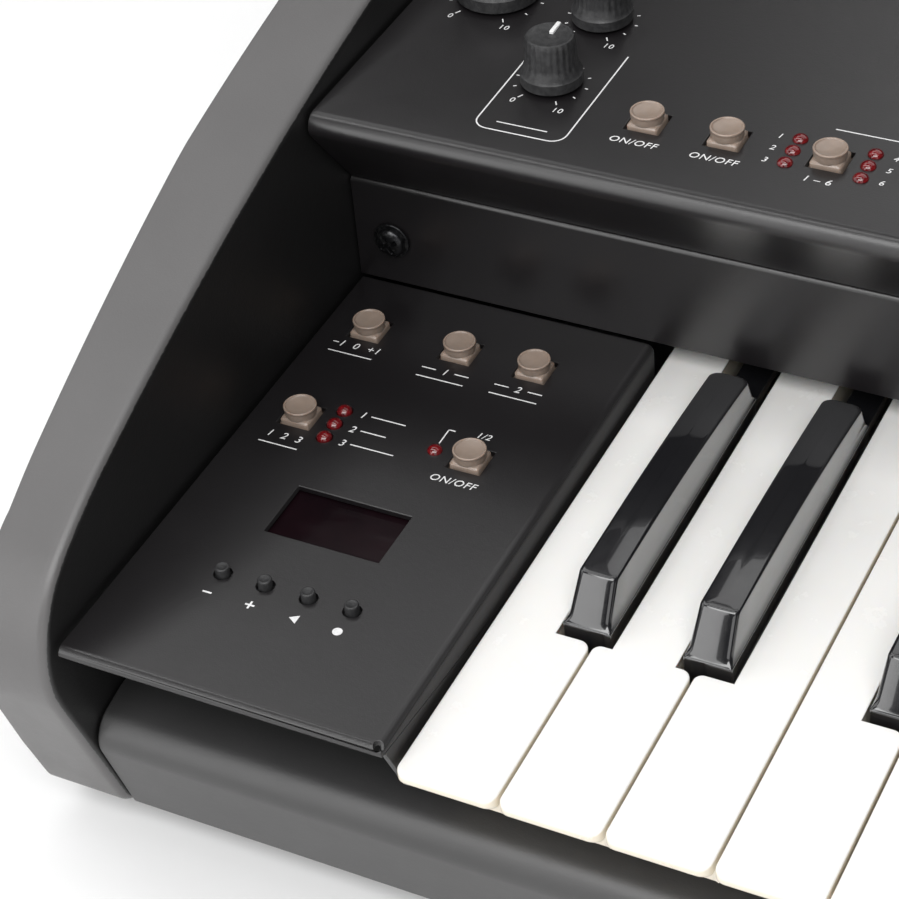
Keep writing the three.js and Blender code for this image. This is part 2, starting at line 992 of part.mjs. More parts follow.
// A finger cap on a flat stem that runs in the slot, with a wide foot that slides on the board.
function drawbar_solid() {
  const half_cap = drawbar.cap_depth / 2;
  const half_width = drawbar.cap_width / 2;
  const cap_top = drawbar.cap_lift + drawbar.cap_height;
  const cap_outline = rounded_outline([
    [-half_cap, drawbar.cap_lift],
    [-half_cap + drawbar.cap_slope / 2, cap_top, drawbar.cap_round],
    [half_cap - drawbar.cap_slope, cap_top, drawbar.cap_round],
    [half_cap, drawbar.cap_lift],
  ]);
  const cap = prism_across(cap_outline, -half_width, half_width, fine_steps);
  const half_stem = drawbar.stem_width / 2;
  const half_depth = drawbar.stem_depth / 2;
  const foot_bottom = -switch_board.drop + seat_gap;
  const foot_top = foot_bottom + drawbar.foot_height;
  const stem = block(-half_stem, half_stem, -half_depth, half_depth, foot_bottom, cap_top / 2);
  const half_foot = drawbar.foot_width / 2;
  const slider = block(-half_foot, half_foot, -half_depth, half_depth, foot_bottom, foot_top);
  return join([cap, stem, slider]);
}

// Brown caps lead, then white and black ones alternate as on any drawbar organ.
const drawbar_finishes = [
  drawbar_brown,
  drawbar_brown,
  drawbar_white,
  drawbar_white,
  drawbar_black,
  drawbar_white,
  drawbar_black,
  drawbar_black,
  drawbar_white,
];

function drawbar_mesh(index) {
  const mesh = mesh_of(`drawbar_${index + 1}`, drawbar_solid(), drawbar_finishes[index]);
  mesh.position.set(drawbar_x(index), drawbar_rest, panel.height);
  return mesh;
}

// The board under the control panel, which carries the switches, the pots and the drawbar feet.
function guide_board_mesh() {
  const top = panel.height - switch_board.drop;
  const low = top - switch_board.sheet / 2;
  const x0 = knob_kinds.volume.from_left - guide_board.side_margin;
  const x1 = drawbar_x(drawbar.count - 1) + guide_board.side_margin;
  const y0 = panel_front + guide_board.front;
  const y1 = y0 + guide_board.depth;
  const pieces = [block(x0, x1, y0, y1, top - switch_board.sheet, top)];
  const half = switch_board.switch_width / 2;
  for (const x of [vibrato.upper, vibrato.lower, vibrato.type]) {
    const y = vibrato_row;
    pieces.push(block(x - half, x + half, y - half, y + half, low, top + switch_height));
  }
  for (const kind of Object.values(knob_kinds)) {
    const pot = rod(knob.shaft_radius + knob.pot_height, low, top + knob.pot_height);
    pieces.push(moved(pot, ...knob_place(kind), 0));
  }
  const inset = guide_board.post_radius + guide_board.side_margin / 2;
  const middle = (vibrato.type + drawbar.first) / 2;
  for (const x of [x0 + inset, middle, x1 - guide_board.post_radius]) {
    for (const y of [y0 + guide_board.post_radius, y1 - guide_board.post_radius]) {
      const post = rod(guide_board.post_radius, low, panel_floor - seat_gap);
      pieces.push(moved(post, x, y, 0));
    }
  }
  return mesh_of("panel_guide_board", join(pieces), board_green);
}

// Keyboard

// The X places of the naturals' tails within one octave: between two neighbours that have no
// sharp between them the tails share the key line, and elsewhere a slot parts them.
function tail_edges() {
  const edges = [];
  let start = 0;
  while (start < naturals_per_octave) {
    const end = sharp_after.indexOf(false, start);
    const naturals = end - start + 1;
    const slots = naturals - 1;
    const width = (naturals * key_pitch - slots * keys.slot) / naturals;
    for (let index = 0; index < naturals; index += 1) {
      const left = start * key_pitch + index * (width + keys.slot);
      edges.push([left, left + width]);
    }
    start = end + 1;
  }
  return edges;
}

const tails = tail_edges();

// The plan of a natural, from the left end of its own pitch.
function natural_plan(degree, is_last) {
  const origin = degree * key_pitch;
  const head_left = keys.gap / 2;
  const head_right = key_pitch - keys.gap / 2;
  const has_left_slot = degree > 0 && sharp_after[degree - 1];
  const has_right_slot = sharp_after[degree] && !is_last;
  const tail_left = has_left_slot ? tails[degree][0] - origin : head_left;
  const tail_right = has_right_slot ? tails[degree][1] - origin : head_right;
  const corners = [[head_left, 0, keys.corner_radius]];
  corners.push([head_right, 0, keys.corner_radius]);
  if (has_right_slot) {
    corners.push([head_right, keys.notch, keys.notch_radius]);
    corners.push([tail_right, keys.notch]);
  }
  corners.push([tail_right, keys.tail]);
  corners.push([tail_left, keys.tail]);
  if (has_left_slot) {
    corners.push([tail_left, keys.notch]);
    corners.push([head_left, keys.notch, keys.notch_radius]);
  }
  return rounded_outline(corners);
}

// A natural whose plate reaches forward of its body with a rounded lip.
function natural_solid(degree, is_last = false) {
  const side = rounded_outline([
    [keys.plate_reach, -keys.depth],
    [keys.plate_reach, -keys.plate],
    [0, -keys.plate, keys.under_radius],
    [0, 0, keys.lip_radius],
    [keys.tail, 0],
    [keys.tail, -keys.depth],
  ]);
  const plan = prism_up(natural_plan(degree, is_last), -keys.depth, 0, fine_steps);
  return plan.intersect(prism_across(side, 0, key_pitch, fine_steps));
}

// A sharp from the left edge of its slot: a block with a kerb, a sloped front, leaning sides and
// a top that runs level and then falls in a long curve to the rear. It is on a lever that runs
// back between the naturals.
function sharp_solid(tie_height) {
  const front = keys.notch + sharp.front_set_back;
  const crest = front + sharp.front_slope;
  const fall_start = crest + sharp.level_length;
  const rear = fascia.place - sharp.rear_gap;
  const fall = fall_shares.map((share) => [
    fall_start + share * (rear - fall_start),
    sharp.height - share * share * (sharp.height - sharp.rear_height),
  ]);
  const side = rounded_outline([
    [front, -keys.depth],
    [front, sharp.kerb],
    [crest, sharp.height, keys.corner_radius],
    ...fall,
    [rear, sharp.rear_height, keys.corner_radius],
    [rear + sharp.rear_slope, 0],
    [rear + sharp.rear_slope, -keys.depth],
  ]);
  const left = sharp.side_gap;
  const right = keys.slot - sharp.side_gap;
  const section = rounded_outline([
    [left, -keys.depth],
    [left, 0],
    [left + sharp.top_narrowing, sharp.height, keys.corner_radius],
    [right - sharp.top_narrowing, sharp.height, keys.corner_radius],
    [right, 0],
    [right, -keys.depth],
  ]);
  const lever_left = (keys.slot - sharp.lever_width) / 2;
  const lever_right = lever_left + sharp.lever_width;
  const lever = block(lever_left, lever_right, front, sharp.lever_tail, -keys.depth, -sharp.lever_drop);
  const body = prism_across(side, 0, keys.slot, fine_steps).intersect(
    prism_back(section, 0, keys.tail, fine_steps),
  );
  const tail_start = sharp.lever_tail - sharp.tie_length;
  const tail = block(lever_left, lever_right, tail_start, sharp.lever_tail, -keys.depth, tie_height);
  return join([body, lever, tail]);
}

function natural_mesh(degree) {
  const mesh = mesh_of(`key_${natural_names[degree]}`, natural_solid(degree), ivory_white);
  mesh.position.x = degree * key_pitch;
  return mesh;
}

function sharp_mesh(degree) {
  const name = `key_${natural_names[degree]}_sharp`;
  const mesh = mesh_of(name, sharp_solid(-sharp.lever_drop), glossy_black);
  mesh.position.x = tails[degree][1];
  return mesh;
}

// The naturals above the lowest octave, tied by a bar behind the sharps' levers.
function upper_naturals_mesh() {
  const octave_span = naturals_per_octave * key_pitch;
  const naturals = natural_names.map((name, degree) => natural_solid(degree));
  const pieces = [
    block(
      octave_span + keys.gap,
      key_span - keys.gap,
      sharp.lever_tail + running_gap,
      keys.tail,
      -keys.depth,
      0,
    ),
  ];
  for (let octave = 1; octave < octaves; octave += 1) {
    naturals.forEach((solid, degree) => {
      pieces.push(moved(solid, octave * octave_span + degree * key_pitch, 0, 0));
    });
  }
  pieces.push(moved(natural_solid(0, true), octaves * octave_span, 0, 0));
  return mesh_of("upper_naturals", join(pieces), ivory_white);
}

// The sharps above the lowest octave, tied by a bar that crosses over the naturals' tails.
function upper_sharps_mesh() {
  const octave_span = naturals_per_octave * key_pitch;
  const tie_top = sharp.tie_gap + sharp.tie_height;
  const solid = sharp_solid(tie_top);
  const pieces = [];
  const starts = tails.map((edges) => edges[1]).filter((edge, degree) => sharp_after[degree]);
  for (let octave = 1; octave < octaves; octave += 1) {
    for (const start of starts) {
      pieces.push(moved(solid, octave * octave_span + start, 0, 0));
    }
  }
  const first = octave_span + starts[0] + keys.slot / 2;
  const last = (octaves - 1) * octave_span + starts[starts.length - 1] + keys.slot / 2;
  const tie_front = sharp.lever_tail - sharp.tie_length;
  pieces.push(block(first, last, tie_front, sharp.lever_tail, sharp.tie_gap, tie_top));
  return mesh_of("upper_sharps", join(pieces), glossy_black);
}

// The sheet frame under the keys, with the rail that their pivots rest on.
function key_chassis_mesh() {
  const foot_level = tray_top + seat_gap;
  const rail_level = -keys.depth - seat_gap;
  const deck_level = -chassis.deck_drop;
  const rail_front = keys.pivot - chassis.rail_ahead;
  const profile = folded_sheet(
    [
      [chassis.front, foot_level],
      [chassis.front, deck_level],
      [rail_front, deck_level],
      [rail_front, rail_level],
      [chassis_rear, rail_level],
      [chassis_rear, foot_level],
    ],
    chassis.sheet,
    [chassis.bend, chassis.bend, 0, chassis.bend],
  );
  const solid = prism_across(profile, chassis.end_gap, key_span - chassis.end_gap, fine_steps);
  return mesh_of("key_chassis", solid, zinc_steel);
}

// Electronics behind the keys

function main_board_mesh() {
  const rear = rear_face - rear_plate.sheet;
  const depth = (rear - chassis_rear) * board_depth_share;
  const middle = (rear + chassis_rear) / 2;
  const x0 = main_board.from_left;
  const x1 = x0 + main_board.width;
  const y0 = middle - depth / 2;
  const y1 = middle + depth / 2;
  const bottom = tray_top + seat_gap + main_board.stand;
  const top = bottom + main_board.sheet;
  const half_chip = main_board.chip_width / 2;
  const chip_x = (x0 + x1) / 2;
  const pieces = [
    block(x0, x1, y0, y1, bottom, top),
    block(
      chip_x - half_chip,
      chip_x + half_chip,
      middle - half_chip,
      middle + half_chip,
      bottom,
      top + main_board.chip_height,
    ),
  ];
  for (const x of [x0 + main_board.inset, x1 - main_board.inset]) {
    for (const y of [y0 + main_board.inset, y1 - main_board.inset]) {
      const post = rod(main_board.post_radius, tray_top + seat_gap, top);
      pieces.push(moved(post, x, y, 0));
    }
  }
  return mesh_of("main_board", join(pieces), board_green);
}

// The mains module: its own piece of the rear wall, a closed box behind it and the inlet's recess.
function power_supply_mesh() {
  const plate_right = case_right - seat_gap;
  const plate_left = case_right - supply.plate_width;
  const plate_front = rear_face - rear_plate.sheet;
  const box_right = case_right - supply.from_cheek;
  const box_left = box_right - supply.width;
  const box_bottom = tray_top + seat_gap;
  const plate = block(
    plate_left,
    plate_right,
    plate_front,
    rear_face,
    tray_top - tray.sheet,
    panel_floor - seat_gap,
  );
  const body = block(
    box_left,
    box_right,
    plate_front - supply.depth,
    rear_face - rear_plate.sheet / 2,
    box_bottom,
    box_bottom + supply.height,
  );
  const inlet_middle = (box_left + box_right) / 2;
  const inlet_bottom = box_bottom + supply.inlet_rise;
  const inlet = block(
    inlet_middle - supply.inlet_width / 2,
    inlet_middle + supply.inlet_width / 2,
    rear_face - supply.inlet_depth,
    rear_face + cut_overrun,
    inlet_bottom,
    inlet_bottom + supply.inlet_height,
  );
  return mesh_of("power_supply", cut(plate.add(body), [inlet]), zinc_steel);
}

function foot_mesh(name, x, y) {
  const top = tray_top - tray.sheet - seat_gap;
  const bottom = cheek_foot - foot_stand;
  const mesh = mesh_of(name, rod(foot.waist, bottom, top, foot_sides, foot.radius), foot_rubber);
  mesh.position.set(x, y, 0);
  return mesh;
}

// Assembly

function case_group() {
  const group = new THREE.Group();
  group.add(cheek_mesh("left_cheek", case_left, -1));
  group.add(cheek_mesh("right_cheek", case_right, 1));
  group.add(base_tray_mesh());
  group.add(front_rail_mesh());
  group.add(rear_panel_mesh());
  group.add(top_panel_mesh());
  group.add(key_fascia_mesh());
  for (const [side, x] of Object.entries(screw_places())) {
    group.add(screw_mesh(`fascia_screw_${side}`, x));
  }
  const foot_columns = { left: case_left + foot.side_inset, right: case_right - foot.side_inset };
  const foot_rows = { front: foot.front_inset, rear: case_rear - foot.rear_inset };
  for (const [side, x] of Object.entries(foot_columns)) {
    for (const [end, y] of Object.entries(foot_rows)) {
      group.add(foot_mesh(`foot_${end}_${side}`, x, y));
    }
  }
  return group;
}

function control_block_group() {
  const group = new THREE.Group();
  group.add(left_block_cover_mesh());
  group.add(right_block_cover_mesh());
  group.add(left_switch_board_mesh());
  group.add(display_window_mesh());
  group.add(organ_type_lamps_mesh());
  for (const [name, [x, y]] of Object.entries(button_places)) {
    group.add(push_button_mesh(name, x, y, cover.height, cover.sheet));
  }
  menu_names.forEach((name, index) => {
    const [x, y] = menu_place(index);
    group.add(menu_button_mesh(name, x, y));
  });
  return group;
}

function control_panel_group() {
  const group = new THREE.Group();
  group.add(guide_board_mesh());
  for (const role of ["upper", "lower", "type"]) {
    const name = `vibrato_${role}_button`;
    group.add(push_button_mesh(name, vibrato[role], vibrato_row, panel.height, panel.sheet));
  }
  for (const [role, kind] of Object.entries(knob_kinds)) {
    group.add(knob_mesh(`${role}_knob`, kind));
  }
  for (let index = 0; index < drawbar.count; index += 1) {
    group.add(drawbar_mesh(index));
  }
  return group;
}

function keyboard_group() {
  const group = new THREE.Group();
  group.add(key_chassis_mesh());
  natural_names.forEach((name, degree) => {
    group.add(natural_mesh(degree));
    if (sharp_after[degree]) {
      group.add(sharp_mesh(degree));
    }
  });
  group.add(upper_naturals_mesh());
  group.add(upper_sharps_mesh());
  return group;
}

function electronics_group() {
  const group = new THREE.Group();
  group.add(main_board_mesh());
  group.add(power_supply_mesh());
  return group;
}

const organ = new THREE.Group();
organ.add(case_group());
organ.add(control_block_group());
organ.add(control_panel_group());
organ.add(keyboard_group());
organ.add(electronics_group());
organ.position.set(
  -key_span / 2,
  cheek.reach - case_depth / 2,
  cheek_foot_depth + foot_stand,
);

const instrument = new THREE.Group();
instrument.add(organ);

export default instrument;
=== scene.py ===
"""The looks of a compact spinet organ with one manual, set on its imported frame.

Shapes are worked out in keyboard places, in millimetres: X from the left end of the lowest key,
Y back from the key fronts and Z up from the key tops. `placed` turns them into metres of the frame.
"""

import json
import math

import bmesh
import bpy
import numpy as np
from mathutils import Matrix, Vector

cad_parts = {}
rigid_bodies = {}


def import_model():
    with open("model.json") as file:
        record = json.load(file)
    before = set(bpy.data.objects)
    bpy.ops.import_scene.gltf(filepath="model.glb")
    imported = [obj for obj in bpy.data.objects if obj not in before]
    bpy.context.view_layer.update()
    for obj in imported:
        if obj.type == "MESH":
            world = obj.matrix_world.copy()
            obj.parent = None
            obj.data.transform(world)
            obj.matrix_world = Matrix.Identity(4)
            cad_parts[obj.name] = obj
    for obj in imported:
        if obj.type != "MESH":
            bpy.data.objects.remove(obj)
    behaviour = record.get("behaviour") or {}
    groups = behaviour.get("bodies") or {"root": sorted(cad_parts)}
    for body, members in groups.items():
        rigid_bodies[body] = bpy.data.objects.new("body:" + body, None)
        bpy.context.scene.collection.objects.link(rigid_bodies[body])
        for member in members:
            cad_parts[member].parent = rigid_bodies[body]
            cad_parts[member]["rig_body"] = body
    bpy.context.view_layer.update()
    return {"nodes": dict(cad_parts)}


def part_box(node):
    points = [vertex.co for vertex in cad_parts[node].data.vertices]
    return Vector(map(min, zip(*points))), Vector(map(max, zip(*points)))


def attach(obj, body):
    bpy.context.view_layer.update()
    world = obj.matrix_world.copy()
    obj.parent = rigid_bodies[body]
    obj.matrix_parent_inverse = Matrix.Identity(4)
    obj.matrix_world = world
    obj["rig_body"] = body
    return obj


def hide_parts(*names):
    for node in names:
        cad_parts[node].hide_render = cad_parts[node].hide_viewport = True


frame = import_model()

# Sizes, in millimetres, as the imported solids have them
FRAME_ORIGIN = np.array([423.0, 160.55, -68.0])
KEY_PITCH = 23.5
OCTAVE = 7 * KEY_PITCH
KEY_SPAN = 36 * KEY_PITCH
CASE_LEFT = -81.0
CASE_RIGHT = 927.0
COVER_TOP = 7.0
PANEL_TOP = 64.6
FASCIA = 142.5
REAR_FACE = 322.3
CHEEK = 22.0
KEY_TAIL = 228.0
KEY_FOOT = -10.0
LEVER_END = 222.0
SLOT = 13.3
NOTCH = 50.0

# Points nearer than this are one, in metres, and packed edges sharper than this are rounded, in degrees
MERGE = 2e-6
ARRIS = 32


def placed(points):
    """Keyboard places in millimetres, as places of the frame in metres."""
    return (np.asarray(points, float) - FRAME_ORIGIN) / 1000


# Shapes


def rounded(corners, steps=6):
    """Points and outward normals of a closed outline that runs anticlockwise.

    A corner (x, y, radius) becomes an arc from the normal of the edge before it to the normal of
    the edge after it. The arc's centre lies radius / sin(half angle) along the corner's bisector.
    """
    corner = np.asarray(corners, float)
    here, radius = corner[:, :2], corner[:, 2:]
    before = np.roll(here, 1, 0) - here
    after = np.roll(here, -1, 0) - here
    before /= np.linalg.norm(before, axis=1, keepdims=True)
    after /= np.linalg.norm(after, axis=1, keepdims=True)
    half = np.arccos(np.clip((before * after).sum(1), -1, 1)) / 2
    bisector = before + after
    bisector /= np.linalg.norm(bisector, axis=1, keepdims=True)
    turn = np.sign(before[:, 1] * after[:, 0] - before[:, 0] * after[:, 1])
    centre = here + bisector * radius / np.sin(half)[:, None]
    first = np.arctan2(before[:, 0], -before[:, 1])
    sweep = turn * (math.pi - 2 * half)
    angle = first[:, None] + sweep[:, None] * np.linspace(0, 1, steps)
    normals = np.stack([np.cos(angle), np.sin(angle)], -1)
    points = centre[:, None] + (turn[:, None] * radius)[:, :, None] * normals
    return points.reshape(-1, 2), normals.reshape(-1, 2)


def rectangle(x0, x1, y0, y1, front_radius, rear_radius=None, steps=6):
    """The points of a rectangle with rounded corners, anticlockwise from its front left one."""
    rear_radius = front_radius if rear_radius is None else rear_radius
    corners = [(x0, y0, front_radius), (x1, y0, front_radius), (x1, y1, rear_radius), (x0, y1, rear_radius)]
    return rounded(corners, steps)[0]


def level(points, height):
    """An outline lifted to a height, which may differ from point to point."""
    return np.column_stack([points, np.broadcast_to(height, len(points))])


def loft(rings):
    """A closed shell through rings that rise anticlockwise, with a face over each end."""
    rings = np.asarray(rings, float)
    count, around, _ = rings.shape
    ring = np.arange(count - 1)[:, None] * around
    here = np.arange(around)[None, :]
    after = (here + 1) % around
    quads = np.stack([ring + here, ring + after, ring + around + after, ring + around + here], -1)
    ends = [list(range(around))[::-1], list(range((count - 1) * around, count * around))]
    return rings.reshape(-1, 3), quads.reshape(-1, 4).tolist() + ends


def turned(profile, sides=48):
    """A shell turned about Z: each (radius, height) of the profile, from the bottom up, is a ring."""
    profile = np.asarray(profile, float)
    angle = np.linspace(0, 2 * math.pi, sides, endpoint=False)
    radius, height = profile[:, :1], profile[:, 1:]
    x, y = radius * np.cos(angle), radius * np.sin(angle)
    return loft(np.stack([x, y, np.broadcast_to(height, x.shape)], -1))


def bar(x0, x1, y0, y1, z0, z1, radius=0.4):
    """A bar with rounded edges: rectangles drawn in by r (1 - sin a) while they rise by r (1 - cos a)."""
    angle = np.linspace(0, math.pi / 2, 4)
    draw, rise = radius * (1 - np.sin(angle)), radius * (1 - np.cos(angle))
    heights = np.concatenate([z0 + rise, (z1 - rise)[::-1]])
    inset = np.concatenate([draw, draw[::-1]])
    corner = radius * 1.6
    rings = [
        level(rectangle(x0 + d, x1 - d, y0 + d, y1 - d, corner - d, steps=4), z)
        for d, z in zip(inset, heights)
    ]
    return loft(rings)


def shifted(shape, x, y, z):
    """A shape moved along the three axes."""
    return shape[0] + np.array([x, y, z], float), shape[1]


def standing(shape, x, y, z):
    """A shape drawn about Z, laid down so that its top faces the player."""
    points = shape[0]
    return np.stack([x + points[:, 0], y - points[:, 2], z + points[:, 1]], -1), shape[1]


def on_rear(shape, x, z):
    """A shape drawn about Z, laid on the rear face so that its top faces away from the player."""
    points = shape[0]
    return np.stack([x - points[:, 0], REAR_FACE + points[:, 2], z + points[:, 1]], -1), shape[1]


def link(name, mesh, slot, body, node, finish=None):
    """An object for a mesh, with its finish, its slot in the record, its body and the node it is for."""
    mesh.materials.clear()
    mesh.materials.append(finishes[finish or slot])
    piece = bpy.data.objects.new(name, mesh)
    bpy.context.scene.collection.objects.link(piece)
    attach(piece, body)
    if node:
        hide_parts(node)
    return piece


def smoothed(mesh, angle):
    """Shades a mesh smooth, apart from edges that turn by more than an angle in degrees."""
    mesh.polygons.foreach_set("use_smooth", np.ones(len(mesh.polygons), bool))
    mesh.set_sharp_from_angle(angle=math.radians(angle))


def make_piece(name, shapes, slot, body="case", node=None, angle=40, band=None, finish=None):
    """One piece from closed shells given in keyboard places.

    The band, where there is one, is a value for each vertex that its finish reads. The finish is
    the one of its slot unless another is named.
    """
    starts = np.cumsum([0] + [len(points) for points, _ in shapes])
    points = placed(np.concatenate([points for points, _ in shapes]))
    faces = [[start + v for v in face] for start, (_, group) in zip(starts, shapes) for face in group]
    mesh = bpy.data.meshes.new(name)
    mesh.from_pydata(points, [], faces)
    if band is not None:
        mesh.attributes.new("band", "FLOAT", "POINT").data.foreach_set("value", band)
    work = bmesh.new()
    work.from_mesh(mesh)
    bmesh.ops.remove_doubles(work, verts=work.verts, dist=MERGE)
    bmesh.ops.dissolve_degenerate(work, edges=work.edges, dist=1e-7)
    work.to_mesh(mesh)
    work.free()
    smoothed(mesh, angle)
    return link(name, mesh, slot, body, node, finish)


def refined(node, slot, width):
    """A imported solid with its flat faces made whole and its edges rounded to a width."""
    mesh = frame["nodes"][node].data.copy()
    mesh.name = node + "_finished"
    work = bmesh.new()
    work.from_mesh(mesh)
    bmesh.ops.remove_doubles(work, verts=work.verts, dist=MERGE)
    bmesh.ops.dissolve_limit(work, angle_limit=math.radians(0.4), verts=work.verts, edges=work.edges)
    work.to_mesh(mesh)
    work.free()
    smoothed(mesh, ARRIS)
    piece = link(mesh.name, mesh, slot, frame["nodes"][node]["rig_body"], node)
    edge = piece.modifiers.new("edges", "BEVEL")
    edge.width, edge.segments = width / 1000, 3
    edge.limit_method, edge.angle_limit = "ANGLE", math.radians(ARRIS)
    edge.use_clamp_overlap, edge.harden_normals = False, True


# Finishes

finishes = {}


class Finish:
    """A material on one shader, kept by its name, with patterns laid in the object's own coordinates."""

    def __init__(self, name, colour, roughness, **sockets):
        finishes[name] = material = bpy.data.materials.new(name)
        material.use_nodes = True
        self.nodes, self.links = material.node_tree.nodes, material.node_tree.links
        self.shader = self.nodes["Principled BSDF"]
        sockets.update(Base_Color=(*colour, 1), Roughness=roughness)
        for socket, value in sockets.items():
            self.shader.inputs[socket.replace("_", " ")].default_value = value
        self.place = self.add("ShaderNodeTexCoord").outputs["Object"]
        self.height = None

    def add(self, kind, **settings):
        node = self.nodes.new(kind)
        for key, value in settings.items():
            setattr(node, key, value)
        return node

    def feed(self, value, socket):
        self.links.new(value, self.shader.inputs[socket])

    def stretched(self, scale, turn=(0, 0, 0)):
        """The place, turned and drawn out along one or more axes."""
        mapping = self.add("ShaderNodeMapping")
        mapping.inputs["Scale"].default_value = scale
        mapping.inputs["Rotation"].default_value = turn
        self.links.new(self.place, mapping.inputs["Vector"])
        return mapping.outputs["Vector"]

    def noise(self, scale, detail=3.0, rough=0.55, place=None):
        node = self.add("ShaderNodeTexNoise")
        for socket, value in (("Scale", scale), ("Detail", detail), ("Roughness", rough)):
            node.inputs[socket].default_value = value
        self.links.new(place or self.place, node.inputs["Vector"])
        return node.outputs["Fac"]

    def cells(self, scale):
        node = self.add("ShaderNodeTexVoronoi")
        node.inputs["Scale"].default_value = scale
        self.links.new(self.place, node.inputs["Vector"])
        return node.outputs["Distance"]

    def ranged(self, value, low=0.3, high=0.7, to_low=0, to_high=1):
        """A value that runs from low to high, stretched to another range and held inside it."""
        node = self.add("ShaderNodeMapRange")
        for socket, number in zip(("From Min", "From Max", "To Min", "To Max"), (low, high, to_low, to_high)):
            node.inputs[socket].default_value = number
        self.links.new(value, node.inputs["Value"])
        return node.outputs["Result"]

    def facing(self, axis):
        """How squarely a face is turned along an axis, from -1 to 1."""
        split = self.add("ShaderNodeSeparateXYZ")
        self.links.new(self.add("ShaderNodeTexCoord").outputs["Normal"], split.inputs[0])
        return split.outputs[axis]

    def add_up(self, one, other):
        node = self.add("ShaderNodeMath", operation="ADD")
        self.links.new(one, node.inputs[0])
        self.links.new(other, node.inputs[1])
        return node.outputs["Value"]

    def mixed(self, amount, dark, light):
        """A colour that runs from dark to light, each a colour or the output of a node."""
        node = self.add("ShaderNodeMix", data_type="RGBA")
        for socket, side in ((node.inputs[6], dark), (node.inputs[7], light)):
            if isinstance(side, tuple):
                socket.default_value = (*side, 1)
            else:
                self.links.new(side, socket)
        self.links.new(amount, node.inputs[0])
        return node.outputs[2]

    def tint(self, amount, dark, light, low=0.3, high=0.7):
        """The base colour runs from dark to light as amount goes from low to high."""
        self.feed(self.mixed(self.ranged(amount, low, high), dark, light), "Base Color")

    def rough(self, amount, smooth, coarse, low=0.3, high=0.7):
        """The roughness runs from smooth to coarse as amount goes from low to high."""
        self.feed(self.ranged(amount, low, high, smooth, coarse), "Roughness")

    def relief(self, height, depth):
        """A further layer of relief, depth metres high at its full value."""
        node = self.add("ShaderNodeBump")
        node.inputs["Distance"].default_value = depth
        self.links.new(height, node.inputs["Height"])
        if self.height is not None:
            self.links.new(self.height, node.inputs["Normal"])
        self.height = node.outputs["Normal"]
        self.feed(self.height, "Normal")


def shade(colour, share):
    """A colour made darker or lighter."""
    return tuple(channel * share for channel in colour)


def textured_paint(name, colour, roughness, depth, cloud, dull=0.0):
    """Baked paint with an orange-peel grain and faint clouds in its colour.

    Faces that are turned sideways, which no hand polishes, are rougher by dull.
    """
    made = Finish(name, colour, roughness, Specular_IOR_Level=0.8)
    made.tint(made.noise(16, 4), shade(colour, 1 - cloud), shade(colour, 1 + cloud))
    worn = made.ranged(made.noise(110), 0.2, 0.8, roughness - 0.015, roughness + 0.02)
    made.feed(made.add_up(worn, made.ranged(made.facing("X"), 0.35, 0.9, 0, dull)), "Roughness")
    made.relief(made.noise(2600, 2), depth)
    made.relief(made.noise(780, 2), depth * 0.8)


def cheek_paint():
    """Near-black faces on the cheeks, partly their black paint and partly painted shade, and a worn grey band
    of textured paint round their edge.
    """
    made = Finish("cheek_paint", (0.005, 0.0048, 0.005), 0.45, Specular_IOR_Level=0.8)
    band = made.add("ShaderNodeAttribute", attribute_name="band").outputs["Fac"]
    frayed = made.add_up(band, made.ranged(made.noise(900), 0.3, 0.7, -0.12, 0.12))
    clouds = made.ranged(made.noise(22, 4))
    # The faces' near-black is partly the paint's own colour and partly painted shade
    black = made.mixed(clouds, (0.0042, 0.004, 0.0042), (0.0056, 0.0054, 0.0056))
    grey = made.mixed(clouds, (0.086, 0.083, 0.083), (0.099, 0.096, 0.096))
    made.tint(frayed, black, grey, 0.42, 0.58)
    made.rough(made.noise(110), 0.43, 0.47)
    made.relief(made.noise(2100, 2), 0.00004)
    made.relief(made.noise(650, 2), 0.00003)


def white_key_plastic():
    """Key plastic polished by fingers, faintly mottled and sunk, with painted shade down its sides: faces
    that turn from up are darker and warmer, for the shade and the light through the plastic in the gaps.
    """
    colour, clear = (0.87, 0.86, 0.835), {"Subsurface_Weight": 0.12, "Subsurface_Scale": 0.002}
    made = Finish("ivory_white", colour, 0.22, Subsurface_Radius=(1.0, 0.7, 0.45), IOR=1.49, **clear)
    mottled = made.mixed(made.ranged(made.noise(28, 4)), shade(colour, 0.975), (0.885, 0.875, 0.855))
    # Painted shade: faces that turn away from up run to a darker, warmer colour than the top
    made.tint(made.facing("Z"), (0.74, 0.68, 0.57), mottled, 0.1, 0.75)
    made.rough(made.noise(120, 6, 0.65), 0.17, 0.3)
    made.relief(made.noise(45, 2), 0.00004)
    made.relief(made.noise(2600, 2), 0.0000015)


def black_key_plastic():
    """Polished black key plastic with a thin haze and a few hairline rubs along the keys."""
    coat = {"Coat_Weight": 1.0, "Coat_Roughness": 0.04, "Coat_IOR": 1.6}
    made = Finish("glossy_black", (0.009, 0.009, 0.0105), 0.16, **coat)
    made.rough(made.noise(180, 6, 0.7), 0.12, 0.24)
    hair = made.noise(1, 4, 0.7, made.stretched((2600, 50, 300)))
    made.relief(made.ranged(hair, 0.6, 0.75, 0, -1), 0.000002)
    made.relief(made.noise(60, 2), 0.00002)


def button_plastic():
    """Slightly clear taupe plastic with a fine spark-eroded skin."""
    colour, clear = (0.275, 0.212, 0.172), {"Subsurface_Weight": 0.35, "Subsurface_Scale": 0.0015}
    clear["Subsurface_Radius"] = (1.0, 0.72, 0.55)
    made = Finish("taupe_plastic", colour, 0.36, Specular_IOR_Level=0.7, **clear)
    made.tint(made.noise(500), shade(colour, 0.95), shade(colour, 1.05), 0.35, 0.65)
    made.rough(made.noise(900), 0.3, 0.35)
    made.relief(made.noise(3800, 2), 0.000008)


